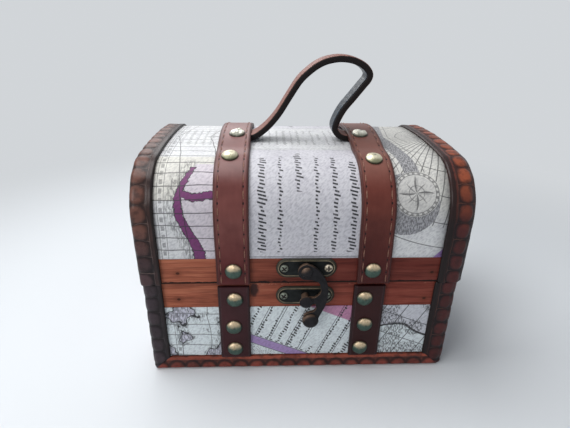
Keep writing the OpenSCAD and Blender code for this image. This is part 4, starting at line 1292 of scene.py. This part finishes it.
def at_front(x, depth, z):
    """Takes flat work, drawn face up, to the front of the chest"""
    return Matrix(((1, 0, 0, x * MM), (0, 0, -1, -depth * MM), (0, 1, 0, z * MM),
                   (0, 0, 0, 1)))


def thicken(bm, blank, thick_mm):
    """Turns a flat blank face up and raises it; gives all that rose"""
    bm.normal_update()
    if blank[0].normal.z < 0:
        blank[0].normal_flip()
    top = bmesh.ops.extrude_face_region(bm, geom=blank)["geom"]
    bmesh.ops.translate(bm, vec=(0, 0, thick_mm * MM), verts=carried(top, bmesh.types.BMVert))
    return top


def plate(name, body, z, node_name):
    """A round-ended plate with a raised rim, sunk inside and swelling round its centre"""
    bm = bmesh.new()
    disc = bmesh.ops.create_circle(bm, cap_ends=True, segments=36, radius=PLATE_HIGH / 2 * MM)
    for vert in disc["verts"]:
        stretch = (PLATE_LONG - PLATE_HIGH) / 2 * MM
        vert.co.x += stretch if vert.co.x > 0 else -stretch
    top = carried(thicken(bm, bm.faces[:], PLATE_THICK * 0.55), bmesh.types.BMFace)
    for thickness, depth in ((0.95, 0.4), (0.3, 0.12), (0.35, -0.42), (1.2, 0.0)):
        bmesh.ops.inset_region(bm, faces=top, thickness=thickness * MM, depth=depth * MM,
                               use_even_offset=True)
    bmesh.ops.recalc_face_normals(bm, faces=bm.faces)
    bmesh.ops.transform(bm, matrix=at_front(LATCH_X, PLATE_SEAT[body], z), verts=bm.verts)
    fit_piece(bm, name, body, "latch_bronze", plate_bronze, node_name)


plate("latch_back_plate", "lid", PIVOT_Z, "latch_plate")
plate("catch_back_plate", "case", POST_Z, "catch_plate")


def arc(centre, radius, start, sweep, steps):
    """Points of an arc from one turn on through another, in radians"""
    turns = [start + sweep * step / steps for step in range(steps + 1)]
    return [Vector(centre) + radius * Vector((cos(turn), sin(turn))) for turn in turns]


EYE_RADIUS, NECK_RADIUS, THUMB_RADIUS = 4.2, 2.3, 3.9
hook_line = curve(HOOK_OUTER, 4)
thumb = Vector((2.5, -27.5))
start_turn = (hook_line[-1] - thumb).angle_signed(Vector((1, 0)))
hook_line += arc(thumb, THUMB_RADIUS, start_turn, -start_turn - radians(215), 14)[1:]
hook_line += curve(HOOK_UNDER, 3)[1:]
hook_line += arc((0, POST_Z - PIVOT_Z), NECK_RADIUS, radians(-55), radians(110), 8)
hook_line += curve(HOOK_INNER, 3)
hook_line += arc((0, 0), EYE_RADIUS, -pi / 2, -pi, 12)[1:-1]
hook_line = [point for index, point in enumerate(hook_line)
             if (point - hook_line[index - 1]).length > 0.2]
hook = bmesh.new()
rim = [hook.verts.new((point.x * MM, point.y * MM, 0)) for point in hook_line]
sides = [hook.edges.new(pair) for pair in zip(rim, rim[1:] + rim[:1])]
top = thicken(hook, bmesh.ops.contextual_create(hook, geom=sides)["faces"], HOOK_THICK)
bmesh.ops.bevel(hook, geom=carried(top, bmesh.types.BMEdge), offset=0.55 * MM, segments=3,
                profile=0.5, affect="EDGES", clamp_overlap=True, material=-1)
bmesh.ops.recalc_face_normals(hook, faces=hook.faces)
bmesh.ops.transform(hook, matrix=at_front(LATCH_X, HOOK_BACK, PIVOT_Z), verts=hook.verts)
fit_piece(hook, "swing_hook", "hook", "latch_bronze", hook_bronze, "latch_hook")

pad = bmesh.new()
lathe(pad, ((0, 1.75), (1.6, 1.7), (2.9, 1.45), (3.6, 1.05), (THUMB_RADIUS, 0.5),
            (THUMB_RADIUS, -0.6), (3.4, -1.3)), 32)
close_ends(pad)
bmesh.ops.transform(pad, matrix=at_front(LATCH_X + thumb.x, HOOK_BACK + HOOK_THICK - 0.1,
                                         PIVOT_Z + thumb.y), verts=pad.verts)
fit_piece(pad, "hook_thumb_pad", "hook", "latch_bronze", hook_bronze)

SCREW_RADIUS, SCREW_APART, SCREW_SEAT = 2.15, 20.8, 0.6


def screw_finish(name, cross_half, dull, bright):
    """Plated screw steel, with painted shade in the cross of the head and a darker edge"""
    steel = Finish(name, metallic=0.7)
    flat, place = steel.millimetres("flat"), steel.millimetres()
    right, up = steel.part(flat, "X"), steel.part(flat, "Y")
    scratches = steel.cloud(steel.stretched(place, 1, 1, 4), 0.4, 3)
    arm = abs(right).least(abs(up)).below(0.34, 0.1)
    cross = arm * abs(right).most(abs(up)).below(cross_half, 0.12)
    rim = right.reach(up).above(SCREW_RADIUS - 0.3, 0.2)
    colour = steel.ramp(scratches, (0.3, dull), (0.7, bright))
    # Painted shade in the cross recess; the head's edge is darker too.
    colour = steel.mix(cross.most(rim * 0.8), colour, (0.016, 0.01, 0.009))
    return steel.set(colour, 0.34 + scratches * 0.2, bumps=((1 - cross, 0.4), (scratches, 0.05)))


dull_screw = screw_finish("dull_screw_steel", 1.45, (0.1, 0.11, 0.09), (0.3, 0.33, 0.27))
bright_screw = screw_finish("bright_screw_steel", 1.35, (0.4, 0.33, 0.24), (0.8, 0.72, 0.58))
out_front = Vector((0, -1, 0))
for name, body, finish, z, turns, *nodes in (
        ("latch_screw_head_left", "lid", dull_screw, PIVOT_Z, {-1: 38}, "latch_screws"),
        ("latch_screw_head_right", "lid", bright_screw, PIVOT_Z, {1: 3}),
        ("catch_screw_heads", "case", dull_screw, POST_Z, {-1: 52, 1: 20}, "catch_screws")):
    seat = -PLATE_SEAT[body] - SCREW_SEAT
    nail_heads(name, body, finish, (SCREW_RADIUS, 1.2, 0.06),
               [(Vector((LATCH_X + side * SCREW_APART / 2, seat, z)) * MM, out_front, turn)
                for side, turn in turns.items()], *nodes, slot="screw_steel")
coat(hook_bronze, "latch_pivot", "catch_post")

# ---- Hinges ----
# Two small butt hinges of pressed brass, screwed to the back boards, turn on steel pins.
brass = Finish("hinge_brass", metallic=0.9)
brass_place = brass.millimetres()
haze = brass.cloud(brass_place, 3.5, 3)
brushed = brass.cloud(brass.stretched(brass_place, 0.2, 1, 1), 0.5, 2)
brass.set(brass.ramp(haze, (0.3, (0.3, 0.2, 0.07)), (0.7, (0.62, 0.45, 0.2))),
          0.28 + haze * 0.25, bumps=((brushed, 0.03),))
for side_name in SIDE_NAME.values():
    coat(brass.owner, *(f"hinge_{side_name}_{part}" for part in ("case_leaf", "lid_leaf", "pin")))
hinge_screw = Finish("hinge_screw_steel", metallic=0.9)
screw_haze = hinge_screw.cloud(hinge_screw.millimetres(), 0.6, 3)
hinge_screw.set(hinge_screw.ramp(screw_haze, (0.3, (0.3, 0.22, 0.1)), (0.7, (0.6, 0.47, 0.24))),
                0.3 + screw_haze * 0.2)
coat(hinge_screw.owner, "hinge_case_screws", "hinge_lid_screws")
